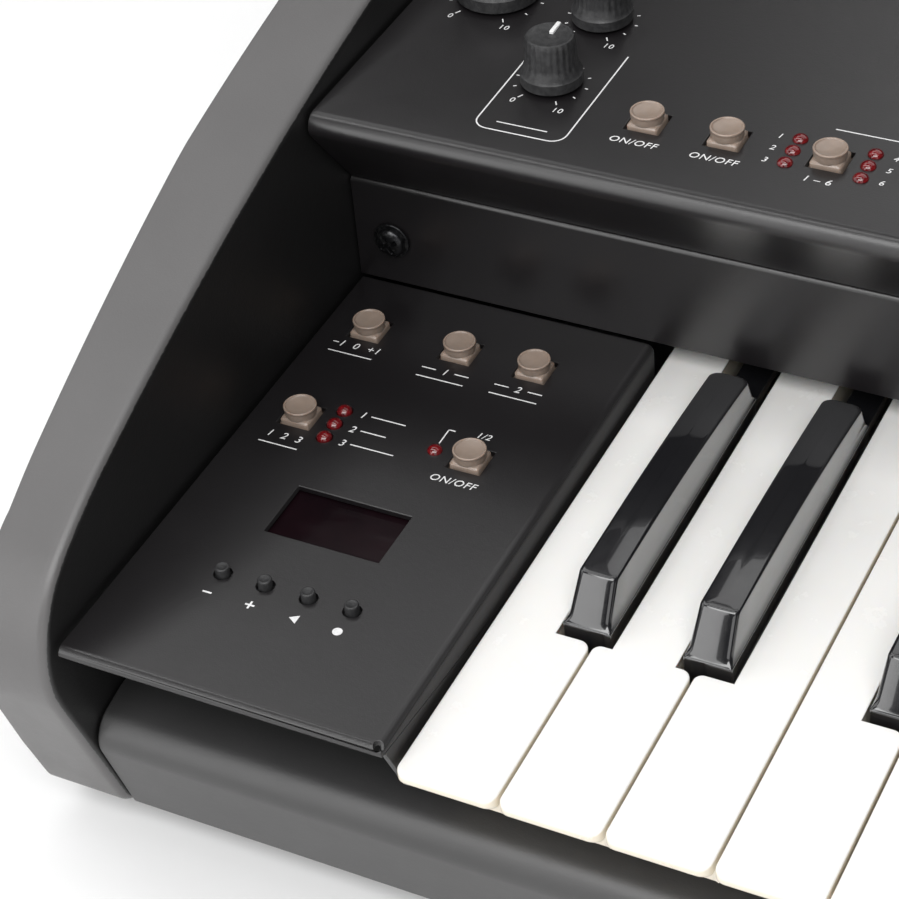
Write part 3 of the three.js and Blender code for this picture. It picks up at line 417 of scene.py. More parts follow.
def dark_moulding():
    """Dark grey moulded plastic with a coarse skin, lighter where fingers have rubbed it."""
    made = Finish("dark_plastic", (0.02, 0.02, 0.021), 0.5)
    made.tint(made.noise(700, 4), (0.015, 0.015, 0.016), (0.034, 0.034, 0.035), 0.35, 0.65)
    made.rough(made.noise(500, 4), 0.4, 0.58)
    made.relief(made.cells(2600), 0.00003)
    made.relief(made.noise(900), 0.00003)


def red_lens():
    """A deep red lamp lens, clear at its skin and clouded within."""
    made = Finish("lamp_red", (0.14, 0.004, 0.006), 0.12, Coat_Weight=0.8, Coat_Roughness=0.03)
    made.tint(made.noise(900), (0.06, 0.002, 0.004), (0.2, 0.007, 0.009))
    made.rough(made.noise(1500), 0.08, 0.2)
    made.relief(made.noise(700, 2), 0.00002)


def window_glass():
    """A dark display window with a faint red cast in clouds, wiped nearly clean."""
    made = Finish("display_glass", (0.006, 0.0025, 0.0035), 0.1, Specular_IOR_Level=0.07)
    made.tint(made.noise(70), (0.0045, 0.0022, 0.0032), (0.0095, 0.0035, 0.0052))
    wiped = made.noise(1, 3, 0.6, made.stretched((40, 260, 40), (0, 0, 0.3)))
    made.rough(wiped, 0.06, 0.16, 0.35)
    made.relief(made.noise(40, 2), 0.00001)


def bare_steel(name, colour, roughness):
    """Plated sheet steel with rolling lines along X and a dull spangle."""
    made = Finish(name, colour, roughness, Metallic=1.0)
    lines = made.noise(1, 4, 0.6, made.stretched((25, 1800, 1800)))
    made.tint(made.cells(160), shade(colour, 0.82), shade(colour, 1.08), 0, 0.6)
    made.rough(lines, roughness - 0.08, roughness + 0.12)
    made.relief(lines, 0.000006)


def screw_black():
    """Black oxide on steel, worn grey in spots."""
    made = Finish("screw_steel", (0.035, 0.035, 0.037), 0.32, Metallic=0.85)
    made.tint(made.noise(900, 4), (0.024, 0.024, 0.026), (0.11, 0.11, 0.112), 0.5, 0.75)
    made.rough(made.noise(1300, 4), 0.24, 0.42)
    made.relief(made.noise(1800), 0.00002)


def board_lacquer():
    """Green lacquered board with copper tracks that show as a paler grid."""
    made = Finish("board_green", (0.008, 0.03, 0.014), 0.34)
    tracks = made.noise(1, 0, 0.5, made.stretched((700, 90, 90)))
    made.tint(tracks, (0.005, 0.02, 0.009), (0.016, 0.05, 0.024), 0.5, 0.54)
    made.relief(made.ranged(tracks, 0.5, 0.54), 0.00004)
    made.rough(made.noise(300), 0.28, 0.42)


def cap_plastic(name, colour):
    """Drawbar cap plastic with slight swirls from the mould and fine rubs from use."""
    made = Finish(name, colour, 0.26)
    swirl = made.noise(60, 5, 0.6, made.stretched((1, 2.5, 1)))
    made.tint(swirl, shade(colour, 0.86), shade(colour, 1.14), 0.35, 0.65)
    made.rough(made.noise(260, 5), 0.2, 0.36)
    made.relief(made.noise(1800), 0.000006)


def foot_rubber():
    """Matt black rubber with a coarse moulded grain and pale dust in its hollows."""
    made = Finish("foot_rubber", (0.014, 0.014, 0.014), 0.85)
    grain = made.noise(1400, 4)
    made.tint(grain, (0.026, 0.026, 0.025), (0.01, 0.01, 0.01))
    made.relief(grain, 0.00008)


def print_ink():
    """White screen-printed ink, a little thin in places."""
    colour = (0.82, 0.82, 0.82)
    made = Finish("white_ink", colour, 0.5)
    made.tint(made.noise(1500), shade(colour, 0.8), colour, 0.3, 0.6)
    made.relief(made.noise(2500, 2), 0.000006)


def studio_floor():
    """A pale painted floor with the faintest mottling."""
    made = Finish("studio_floor", (0.9, 0.9, 0.9), 0.8)
    made.tint(made.noise(3), (0.89, 0.89, 0.89), (0.92, 0.92, 0.92), 0, 1)
    made.relief(made.noise(400), 0.00003)


cheek_paint()
textured_paint("case_paint", (0.0088, 0.0078, 0.0086), 0.3, 0.00002, 0.14, 0.4)
textured_paint("rail_paint", (0.03, 0.0295, 0.03), 0.42, 0.00003, 0.1)
white_key_plastic()
black_key_plastic()
button_plastic()
dark_moulding()
red_lens()
window_glass()
bare_steel("zinc_steel", (0.55, 0.56, 0.58), 0.38)
bare_steel("supply_alloy", (0.36, 0.36, 0.37), 0.42)
bare_steel("contact_brass", (0.72, 0.52, 0.22), 0.3)
screw_black()
board_lacquer()
cap_plastic("drawbar_brown", (0.105, 0.038, 0.016))
cap_plastic("drawbar_white", (0.8, 0.78, 0.72))
cap_plastic("drawbar_black", (0.012, 0.012, 0.013))
foot_rubber()
print_ink()
studio_floor()


# Keys


def tail_edges():
    """The X places of the seven naturals' tails: slots of one width part them inside each group."""
    edges = []
    for start, count in ((0, 3), (3, 4)):
        width = (count * KEY_PITCH - (count - 1) * SLOT) / count
        left = start * KEY_PITCH + np.arange(count) * (width + SLOT)
        edges += list(zip(left, left + width))
    return edges


TAILS = tail_edges()
SHARP_AFTER = [True, True, False, True, True, True, False]
KEY_GAP = 0.35
PLATE = 3.2
CREST_END = 75.5


def natural(degree, octave=0, is_last=False):
    """A natural as rings of one plan outline.

    The plan is drawn in by e (1 - sin a) while it sinks by e (1 - cos a), where the edge e is 0.5 at
    the sides of the head, 1.4 at the front and 0.26 at the notch and along the tail. Under the plate
    the front steps back to the body.
    """
    left, right = degree * KEY_PITCH + KEY_GAP, (degree + 1) * KEY_PITCH - KEY_GAP
    notch_left = degree > 0 and SHARP_AFTER[degree - 1]
    notch_right = SHARP_AFTER[degree] and not is_last
    tail_left = TAILS[degree][0] if notch_left else left
    tail_right = TAILS[degree][1] if notch_right else right
    corners = [(left, 0, 2.6), (right, 0, 2.6)]
    if notch_right:
        corners += [(right, NOTCH, 2.6), (tail_right, NOTCH, 0)]
    corners += [(tail_right, KEY_TAIL, 1.2), (tail_left, KEY_TAIL, 1.2)]
    if notch_left:
        corners += [(tail_left, NOTCH, 0), (left, NOTCH, 2.1)]
    points, normals = rounded(corners, 8)
    points[:, 0] += octave * OCTAVE
    front = np.where(points[:, 1] < 8, np.maximum(-normals[:, 1], 0) ** 2, 0)
    edge = 0.5 + 0.9 * front - 0.24 * np.clip((points[:, 1] - NOTCH + 3) / 3, 0, 1)
    under = 1.2

    def ring(inset, height):
        return level(points - normals * inset[:, None], height)

    rings = [ring(edge + 0.12, 0)]
    for angle in np.linspace(0, math.pi / 2, 6):
        rings.append(ring(edge * (1 - math.sin(angle)), -edge * (1 - math.cos(angle))))
    for angle in np.linspace(0, math.pi / 2, 4):
        rings.append(ring(front * under * (1 - math.cos(angle)), under * (1 - math.sin(angle)) - PLATE))
    body = points.copy()
    body[:, 1] = np.maximum(body[:, 1], 6)
    rings += [level(body, -PLATE), level(body, KEY_FOOT + 0.4), level(body - normals * 0.4, KEY_FOOT)]
    return loft(rings[::-1])


def sharp_ring(half, front, rear, corners, height, bulge=0.0, share=0.0):
    """A ring round a sharp: a rectangle whose front edge bulges by b (1 - u^2), u across it.

    Behind the end of the crest, at 75.5, the ring sinks by share times 0.00087 (y - 75.5)^2, and
    widens by 0.025 of its width for each millimetre that it sinks, as the sides lean.
    """
    outline = rectangle(-half, half, front, rear, max(corners[0], 0.01), max(corners[1], 0.01), 7)

    def between(first, last, count):
        share = np.linspace(0, 1, count + 2)[1:-1, None]
        return outline[first] * (1 - share) + outline[last] * share

    parts = [outline[:7], between(6, 7, 7), outline[7:14], between(13, 14, 11), outline[14:]]
    outline = np.concatenate(parts + [between(27, 0, 11)])
    across = outline[:, 0] / max(half, 0.01)
    outline[:21, 1] -= bulge * np.clip(1 - across[:21] ** 2, 0, 1)
    sunk = share * 0.00087 * np.maximum(outline[:, 1] - CREST_END, 0) ** 2
    outline[:, 0] *= 1 + 0.025 * sunk
    return level(outline, height - sunk)


def sharp(degree, octave=0, tail_top=-2.0):
    """The sharp after a natural, as rounded rectangles that narrow as they rise.

    A kerb stands to 2.1. From it a flare leads up to the body: the half width at z is
    5.03 - 0.056 (z - 2.1) + 0.42 ((4.6 - z) / 2.5)^3 and the front is at
    52.05 + 0.622 (z - 2.3) - 0.35 ((3.2 - z) / 1.1)^2, both without their last term above the flare.
    The top edge is turned with a radius of 0.8, which at the front is tangent to the slope. The
    top is crowned by 0.1 and lies at 12.4 in front of its fall.
    """
    kerb = [(5.35, 51.75, -10), (5.6, 51.5, -9.7), (5.6, 51.5, 1.7), (5.6, 51.5, 1.85)]
    kerb += [(5.57, 51.53, 1.98), (5.5, 51.6, 2.07), (5.42, 51.68, 2.1)]
    rings = [sharp_ring(half, front, 138.5 - 2 * (5.6 - half), (0.5, 1.2), z) for half, front, z in kerb]
    turn, top, foot = 0.8, 12.3, 2.1
    slope = math.atan(0.622)

    def half_at(height):
        return 5.03 - 0.056 * (height - foot) + 0.42 * max((4.6 - height) / 2.5, 0) ** 3

    def front_at(height):
        return 52.05 + 0.622 * (height - 2.3) - 0.35 * max((3.2 - height) / 1.1, 0) ** 2

    for height in (2.2, 2.35, 2.55, 2.8, 3.15, 3.6, 4.2, 5.0, 6.5, 8.2, 10.0, 11.3):
        share = (height - foot) / (top - foot)
        size = half_at(height), front_at(height), 138.1 - 2.2 * share
        corners = 0.6 + 0.8 * min(share * 8, 1), 1.3 + 1.1 * share
        rings.append(sharp_ring(*size, corners, height, 0.22 * min(share * 10, 1), share))
    arc_front = front_at(top - turn) + turn / math.cos(slope)
    for angle in np.linspace(0.1, math.pi / 2, 9):
        sine, inset = math.sin(angle), turn * (1 - math.cos(angle))
        rise = top - turn * (1 - sine)
        front = arc_front - turn * math.cos(angle) if angle > slope else front_at(rise)
        size = 4.5 - 0.04 * sine - inset, front, 136.1 - 0.2 * sine - inset * 1.3
        corners = 1.4 - inset * 0.6, 2.5 - inset * 0.6
        rings.append(sharp_ring(*size, corners, rise, 0.22 - 0.12 * sine, 0.92 + 0.08 * sine))
    for share in (0.1, 0.35, 0.7, 0.99):
        draw, rest = 3.62 * share, 1 - share
        size = 3.66 - draw, arc_front + draw, 134.86 - draw
        rings.append(sharp_ring(*size, (0.92 * rest, 2 * rest), top + 0.1 * (1 - rest ** 2), 0.1 * rest, 1))
    lever = bar(-4, 4, 60, LEVER_END, KEY_FOOT, -2, 0.4)
    tail = bar(-4, 4, 206, LEVER_END, KEY_FOOT + 1, tail_top, 0.3)
    centre = TAILS[degree][1] + SLOT / 2 + octave * OCTAVE
    return [shifted(shape, centre, 0, 0) for shape in (loft(rings), lever, tail)]


def make_keys():
    """The lowest octave's keys, each on its own, and the others as two rows on tie bars."""
    for degree, name in enumerate("cdefgab"):
        node = "key_" + name
        make_piece(node + "_plate", [natural(degree)], "ivory_white", node, node)
        if SHARP_AFTER[degree]:
            node += "_sharp"
            make_piece(node + "_block", sharp(degree), "glossy_black", node, node, 50)
    places = [(degree, octave) for octave in range(1, 5) for degree in range(7)]
    shapes = [natural(degree, octave) for degree, octave in places] + [natural(0, 5, True)]
    shapes.append(bar(OCTAVE + 1, KEY_SPAN - 1, 222.8, 227.9, -9.9, -0.1, 0.3))
    make_piece("upper_natural_plates", shapes, "ivory_white", node="upper_naturals")
    places = [(degree, octave) for degree, octave in places if SHARP_AFTER[degree]]
    shapes = [shape for degree, octave in places for shape in sharp(degree, octave, 3.4)]
    first, last = OCTAVE + TAILS[0][1] + SLOT / 2, 4 * OCTAVE + TAILS[5][1] + SLOT / 2
    shapes.append(bar(first, last, 206, LEVER_END, 0.6, 3.5, 0.3))
    make_piece("upper_sharp_blocks", shapes, "glossy_black", node="upper_sharps", angle=50)


# Cheeks


def cheek_outline():
    """Points and normals of the cheek's side, clockwise seen from the right.

    A leaning front runs up to a round nose of radius 31.2, a shoulder of radius 121 and a brow of
    radius 700 that ends level at the rear. Each arc starts on the tangent of the one before.
    """
    lean, first, second = math.radians(19.4), math.radians(33.4), math.radians(22.4)
    quarter, rear, drop = math.pi / 2, 326.3, 60
    nose_radius, shoulder_radius, brow_radius, toe_radius, heel_radius = 31.2, 121, 700, 10, 12

    def out(angle):
        return np.stack([-np.sin(angle), np.cos(angle)], -1)

    def arc(centre, radius, start, end, number):
        angle = np.linspace(start, end, number)
        return centre + radius * out(angle), out(angle)

    nose = np.array([26.0, -0.8])
    shoulder = nose + (nose_radius - shoulder_radius) * out(first)
    brow = shoulder + (shoulder_radius - brow_radius) * out(second)
    chin = nose + nose_radius * out(quarter + lean)
    toe = chin[0] + (chin[1] + drop) * math.tan(lean) + toe_radius * math.tan((quarter - lean) / 2)
    heel = rear - heel_radius
    arcs = [
        arc(np.array([heel, heel_radius - drop]), heel_radius, -quarter, -math.pi, 9),
        arc(np.array([toe, toe_radius - drop]), toe_radius, math.pi, quarter + lean, 12),
        arc(nose, nose_radius, quarter + lean, first, 40),
        arc(shoulder, shoulder_radius, first, second, 12),
        arc(brow, brow_radius, second, 0, 50),
        arc(np.array([heel, brow[1] + brow_radius - heel_radius]), heel_radius, 0, -quarter, 9),
    ]
    points, normals = (np.concatenate(part) for part in zip(*arcs))
    step = np.linalg.norm(np.roll(points, -1, 0) - points, axis=1)
    extra = np.maximum(np.ceil(step / 6).astype(int), 1)
    shares = np.concatenate([np.arange(n) / n for n in extra])[:, None]
    index = np.repeat(np.arange(len(points)), extra)
    after = (index + 1) % len(points)
    points = points[index] + (points[after] - points[index]) * shares
    normals = normals[index] + (normals[after] - normals[index]) * shares
    return points, normals / np.linalg.norm(normals, axis=1, keepdims=True)


def cheek(inner, outward):
    """A cheek as rings from its inner face to its outer one, and the share of its band at each point.

    The band between them is turned with a radius of 2.4 at the inner arris and 0.5 at the outer.
    The outer edge draws in towards the nose: its thickness is 22 - 5.4 max(0, 1 - d / reach), where d
    is the distance from the nose and reach is 100 above it and 66 below.
    """
    points, normals = cheek_outline()
    nose = np.array([13.0, 28.0])
    distance = np.sqrt(((points - nose) ** 2).sum(1) + 36)
    reach = np.where(points[:, 1] > nose[1], 100.0, 66.0)
    thickness = CHEEK - 5.4 * np.clip(1 - distance / reach, 0, 1)
    middle = np.array([170.0, 0.0])
    rings, shares = [], []

    def ring(side, depth, share):
        across = np.broadcast_to(inner + outward * depth, len(points))
        rings.append(np.column_stack([across, side]))
        shares.append(share)

    def band(inset, depth):
        ring(points - normals * inset, depth, np.clip((1.7 - inset) / 0.9, 0, 1))

    ring(middle + (points - middle) * 0.05, 0, 0)
    band(2.7, 0)
    for angle in np.linspace(0, math.pi / 2, 8):
        band(2.4 * (1 - math.sin(angle)), 2.4 * (1 - math.cos(angle)))
    for depth in (4, thickness * 0.6, thickness - 1.2):
        band(0, depth)
    for angle in np.linspace(0, math.pi / 2, 5):
        band(0.5 * (1 - math.cos(angle)), thickness - 0.5 * (1 - math.sin(angle)))
    band(0.8, thickness)
    face = points - normals * 0.8
    for share in (0.06, 0.15, 0.3, 0.5, 0.75, 0.97):
        blend = min(share / 0.5, 1)
        depth = thickness + (CHEEK - thickness) * blend * blend * (3 - 2 * blend)
        ring(face + (middle - face) * share, depth, 0)
    rings = np.array(rings)
    if outward > 0:
        rings = rings[:, ::-1]
    return loft(rings), np.repeat(np.array(shares, float), len(points))


def make_cheeks():
    """The two end plates, one the mirror image of the other."""
    for name, inner, outward in (("left_cheek", CASE_LEFT, -1), ("right_cheek", CASE_RIGHT, 1)):
        shape, band = cheek(inner, outward)
        make_piece(name + "_casting", [shape], "cheek_paint", node=name, angle=30, band=band)


# Controls

# The top of each sheet that buttons stand in, and its thickness
COVER = COVER_TOP, 1.5
PANEL = PANEL_TOP, 1.6
PUSH_BUTTONS = {
    "lower_octave_button": (-68.2, 123.26, *COVER),
    "lower_preset_a_button": (-43.58, 123.26, *COVER),
    "lower_preset_b_button": (-23.81, 123.26, *COVER),
    "organ_type_button": (-68.2, 87.99, *COVER),
    "pedals_button": (-23.81, 87.99, *COVER),
    "vibrato_upper_button": (-4.6, 150.5, *PANEL),
    "vibrato_lower_button": (14.9, 150.5, *PANEL),
    "vibrato_type_button": (39.4, 150.5, *PANEL),
}
MENU_BUTTONS = ["minus_button", "plus_button", "back_button", "enter_button"]
PANEL_LAMPS = [(x, y) for x in (30.5, 48.2) for y in (155.6, 150.7, 145.7)]
KNOBS = {
    "volume_knob": (-61.0, 190.0, 10.5, 15.0),
    "drive_knob": (-32.2, 188.0, 7.5, 13.0),
    "tone_knob": (-32.2, 158.5, 7.5, 13.0),
}
DRAWBARS = [92 + 17 * index for index in range(9)]
DRAWBAR_FINISHES = ["brown", "brown", "white", "white", "black", "white", "black", "black", "white"]
GRIP = 0.86


def push_button(sheet):
    """A square base with a turned cap.

    The cap's side widens to 4.0 under a rim that is turned with a radius of 0.3, and its middle is
    a dish whose height is 2.75 + 0.36 (r / 3.38)^2.
    """
    steps = [(3.5, 0.5, -sheet - 1.7), (3.75, 0.75, -sheet - 1.5), (3.75, 0.75, 0.45), (3.72, 0.75, 0.55)]
    steps += [(3.42, 0.75, 0.88), (3.34, 0.75, 0.95), (3.1, 0.8, 1.0)]
    base = [level(rectangle(-half, half, -half, half, r, steps=5), z) for half, r, z in steps]
    flange = bar(-5.3, 5.3, -5.3, 5.3, -sheet - 1.8, -sheet - 0.3, 0.3)
    stem = bar(-2, 2, -2, 2, -6, -sheet - 1, 0.3)
    profile = [(0.01, 0.7), (3.5, 0.7), (3.72, 0.8), (3.82, 1.2), (3.9, 2.3), (3.92, 2.85)]
    profile += [(3.98, 2.92), (4.0, 3.02)]
    angle = np.linspace(0, math.pi * 0.95, 10)
    profile += [(3.7 + 0.3 * math.cos(a), 3.1 + 0.3 * math.sin(a)) for a in angle]
    share = np.linspace(0.985, 0.01, 9)
    profile += [(3.38 * s, 2.75 + 0.36 * s * s) for s in share]
    return [loft(base), flange, stem, turned(profile, 56)]


def menu_button():
    """A round button with a turned edge and a shallow dish, over a flange and a stem."""
    profile = [(0.01, -3.3), (2.9, -3.3), (2.9, -1.8), (1.65, -1.75), (1.65, 1.65), (1.6, 1.88)]
    profile += [(1.46, 2.04), (1.27, 2.1), (1.1, 2.03), (0.86, 1.9), (0.4, 1.86), (0.01, 1.85)]
    return [turned(profile, 40), turned([(0.01, -6), (1, -6), (1, -3), (0.01, -3)], 20)]


def lamp_dome():
    """A neck of radius 1.85 under a dome whose height is 1.3 times the sine of its angle."""
    profile = [(0.01, -3), (1.85, -3), (1.85, 0)]
    profile += [(1.85 * math.cos(a), 1.3 * math.sin(a)) for a in np.linspace(0.1, math.pi / 2 - 0.01, 12)]
    return turned(profile, 40)


def knob_body(radius, height):
    """A skirted knob whose grip is fluted: its radius waves 24 times round by 3 parts in 100."""
    grip, skirt, sides = radius * GRIP, height * 0.3, 144
    profile = [(0.01, 0.6), (radius - 0.4, 0.6), (radius, 1.0), (radius, skirt - 0.5)]
    profile += [(radius - 0.5, skirt), (grip + 0.4, skirt + 0.7), (grip, skirt + 1.4)]
    profile += [(grip * 0.97, height * 0.5), (grip * 0.95, height * 0.75), (grip * 0.935, height - 1.4)]
    profile += [(grip * 0.92, height - 0.7), (grip * 0.88, height - 0.2), (grip * 0.82, height)]
    profile += [(grip * 0.74, height - 0.15), (grip * 0.4, height - 0.35), (0.01, height - 0.4)]
    points, faces = turned(profile, sides)
    rings = points.reshape(len(profile), sides, 3)
    angle = np.linspace(0, 2 * math.pi, sides, endpoint=False)
    fluted = np.array([0, 0, 0, 0, 0, 0, 0.5, 1, 1, 1, 0.8, 0.3, 0, 0, 0, 0])
    rings[:, :, :2] *= (1 - fluted[:, None] * 0.03 * (0.5 + 0.5 * np.cos(24 * angle)))[:, :, None]
    shaft = turned([(0.01, -8.5), (2.8, -8.5), (3, -8.3), (3, 1.5), (0.01, 1.5)], 32)
    return [(rings.reshape(-1, 3), faces), shaft]


def drawbar_cap():
    """A finger cap whose front leans by 2 and rear by 4 over its height of 9, hollowed on its top."""
    rings = []
    for z, draw in ((0.6, 0.3), (0.8, 0.1), (1.2, 0.0)):
        rings.append(level(rectangle(-6.3 + draw, 6.3 - draw, -7.5 + draw, 7.5 - draw, 1.1), z))
    for share in np.linspace(0.15, 0.85, 6):
        x, front, rear = 6.3 - 0.35 * share, -7.5 + 2 * share, 7.5 - 4 * share ** 1.15
        rings.append(level(rectangle(-x, x, front, rear, 1.1), 0.6 + 9 * share))
    for angle in np.linspace(0.1, math.pi / 2, 7):
        inset = 1.3 * (1 - math.cos(angle))
        x, front, rear = 5.98 - inset, -5.75 + inset, 3.95 - inset
        rings.append(level(rectangle(-x, x, front, rear, max(1.5 - inset, 0.2)), 8.3 + 1.3 * math.sin(angle)))
    for share in (0.1, 0.35, 0.65, 0.97):
        draw = 3.5 * share
        outline = rectangle(-4.68 + draw, 4.68 - draw, -4.45 + draw, 2.65 - draw, max(0.2, 0.6 - draw))
        rings.append(level(outline, 9.6 - 0.5 * share * (2 - share)))
    stem = bar(-2, 2, -5.5, 5.5, -10.6, 4, 0.4)
    slider = bar(-4.5, 4.5, -5.5, 5.5, -10.7, -7.7, 0.4)
    return loft(rings), stem, slider


def cross_screw():
    """A washer and a pan head with a cross recess.

    The head's height is 1.2 + 1.6 (1 - (r / 3.9)^2.6)^0.5, less 1.3 times a mask that is one within
    0.4 of either arm's middle line and ends 2.7 from the centre.
    """
    washer = turned([(0.01, 0), (4.6, 0), (4.8, 0.15), (4.8, 0.5), (4.62, 0.68), (4.3, 0.7), (0.01, 0.7)], 64)
    radius = np.concatenate([[3.9, 3.9], np.linspace(3.9, 0.02, 40)])
    angle = np.linspace(0, 2 * math.pi, 120, endpoint=False)
    r, a = np.meshgrid(radius, angle, indexing="ij")
    x, y = r * np.cos(a + 0.5), r * np.sin(a + 0.5)
    across = np.minimum(np.abs(r * np.cos(a)), np.abs(r * np.sin(a)))
    arm = np.clip((0.62 - across) / 0.22, 0, 1) * np.clip((2.7 - r) / 0.35, 0, 1)
    dome = 1.2 + 1.6 * (1 - (r / 3.9) ** 2.6) ** 0.5
    z = dome - 1.3 * arm
    z[0], z[1] = 0.5, 0.9
    shank = turned([(0.01, -9), (1.3, -9), (1.7, -8), (1.7, 0.5), (0.01, 0.5)], 24)
    return [washer, loft(np.stack([x, y, z], -1)), shank]


def make_controls():
    """Buttons, lamps, knobs with their pointers, drawbars and the fascia's two screws."""
    for name, (x, y, top, sheet) in PUSH_BUTTONS.items():
        shapes = [shifted(shape, x, y, top) for shape in push_button(sheet)]
        make_piece(name + "_cap", shapes, "taupe_plastic", name, name, 42)
    for index, name in enumerate(MENU_BUTTONS):
        shapes = [shifted(shape, 10.8 * index - 58.24, 33.35, COVER_TOP) for shape in menu_button()]
        make_piece(name + "_cap", shapes, "dark_plastic", name, name, 50)
    dome, column, row, spacing = lamp_dome(), -59.29, 87.99, 5.1
    shapes = [shifted(dome, column, row + step * spacing, COVER_TOP) for step in (-1, 0, 1)]
    shapes.append(bar(column - 2, column + 2, 80.9, 95.1, COVER_TOP - 3.8, COVER_TOP - 1.8, 0.3))
    make_piece("organ_type_lenses", shapes, "lamp_red", node="organ_type_lamps", angle=50)
    flat = dome[0].copy()
    flat[:, 2] = np.maximum(flat[:, 2], 0.02)
    lens = (flat, dome[1])
    make_piece("pedals_lens", [shifted(lens, -32.9, 87.9, COVER_TOP)], "lamp_red")
    make_piece("vibrato_lenses", [shifted(lens, x, y, PANEL_TOP) for x, y in PANEL_LAMPS], "lamp_red")
    for name, (x, y, radius, height) in KNOBS.items():
        shapes = [shifted(shape, x, y, PANEL_TOP) for shape in knob_body(radius, height)]
        make_piece(name + "_grip", shapes, "dark_plastic", name, name, 35)
        far, top = y + radius * GRIP * GRIP, PANEL_TOP + height
        mark = bar(x - 0.55, x + 0.55, y + 0.8, far, top - 0.8, top + 0.3, 0.2)
        make_piece(name + "_pointer", [mark], "drawbar_white", name, finish="white_ink")
    for index, (x, colour) in enumerate(zip(DRAWBARS, DRAWBAR_FINISHES)):
        node = "drawbar_%d" % (index + 1)
        low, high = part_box(node)
        y = (low.y + high.y) / 2 * 1000 + FRAME_ORIGIN[1]
        cap, stem, slider = (shifted(shape, x, y, PANEL_TOP) for shape in drawbar_cap())
        make_piece(node + "_cap", [cap], "drawbar_" + colour, node, node, 42)
        make_piece(node + "_stem", [stem, slider], "drawbar_black", node)
    for side, x in (("left", -70.4), ("right", 916.4)):
        name = "fascia_screw_" + side
        shapes = [standing(shape, x, FASCIA - 0.3, 20.5) for shape in cross_screw()]
        make_piece(name + "_head", shapes, "screw_steel", node=name, angle=60)


# Printed marks

# How far a print reaches above its sheet and below it
INK = 0.04


def ribbon(path, width, height):
    """A printed line: a flat bar of one width swept along a path that lies level."""
    path = np.asarray(path, float)
    run = np.gradient(path, axis=0)
    run /= np.linalg.norm(run, axis=1, keepdims=True)
    side = np.column_stack([-run[:, 1], run[:, 0]]) * width / 2
    low, high = height - INK, height + INK
    corners = [(path - side, low), (path + side, low), (path + side, high), (path - side, high)]
    return loft(np.stack([level(points, z) for points, z in corners], axis=1))


def rule(x0, y0, x1, y1, height, width=0.32):
    """A straight printed line between two places."""
    return ribbon(np.linspace((x0, y0), (x1, y1), 3), width, height)


def dot(x, y, radius, height):
    """A round printed spot."""
    return shifted(turned([(0.01, -INK), (radius, -INK), (radius, INK), (0.01, INK)], 24), x, y, height)


def cross(x, y, reach, half, height):
    """A plus sign with arms of one length: twelve corners, at plus or minus reach or half."""
    arm = np.array([(reach, -half), (reach, half), (half, half)])
    quarter = np.array([(0, 1), (-1, 0)])
    arms = [arm @ np.linalg.matrix_power(quarter, turns) for turns in range(4)]
    corners = np.concatenate(arms) + (x, y)
    return loft([level(corners, height - INK), level(corners, height + INK)])


def arrow(x, y, size, height):
    """A triangle that points to the left."""
    corners = np.array([(-size, 0), (size * 0.6, -size), (size * 0.6, size)]) + (x, y)
    return loft([level(corners, height - INK), level(corners, height + INK)])


def lettering(text, x, y, height, tall=2.3, lean=0.18):
    """Digits or signs as a thin raised print, centred at x and y, in the built-in face."""
    curve = bpy.data.curves.new("print_" + str(len(bpy.data.curves)), "FONT")
    curve.body = text
    curve.size = tall / 0.73
    curve.shear = lean
    curve.space_character = 1.1
    curve.resolution_u = 3
    curve.extrude = INK
    curve.align_x = "CENTER"
    holder = bpy.data.objects.new(curve.name, curve)
    mesh = bpy.data.meshes.new_from_object(holder)
    points = np.empty(len(mesh.vertices) * 3)
    mesh.vertices.foreach_get("co", points)
    faces = [list(face.vertices) for face in mesh.polygons]
    bpy.data.meshes.remove(mesh)
    bpy.data.objects.remove(holder)
    bpy.data.curves.remove(curve)
    return points.reshape(-1, 3) + np.array([x, y - tall / 2, height]), faces


def scale_round(x, y, radius, height):
    """Eleven ticks from 150 degrees left of the far side to 150 right of it, numbered 0, 5 and 10."""
    shapes = []
    for step in range(11):
        angle = math.radians(30 * step - 150)
        out = np.array([math.sin(angle), math.cos(angle)])
        start, length = (x, y) + out * (radius + 0.9), 1.5 if step % 5 == 0 else 0.8
        shapes.append(rule(*start, *(start + out * length), height, 0.3))
        if step % 5 == 0:
            place = (x, y) + out * (radius + (4.7 if step == 10 else 3.9))
            shapes.append(lettering(str(step), *place, height, 1.9, 0.1))
    return shapes


def flanked(text, x, y, height, half):
    """Digits with a short rule on either side."""
    return [
        lettering(text, x, y, height),
        rule(x - half, y, x - half * 0.4, y, height),
        rule(x + half * 0.4, y, x + half, y, height),
    ]


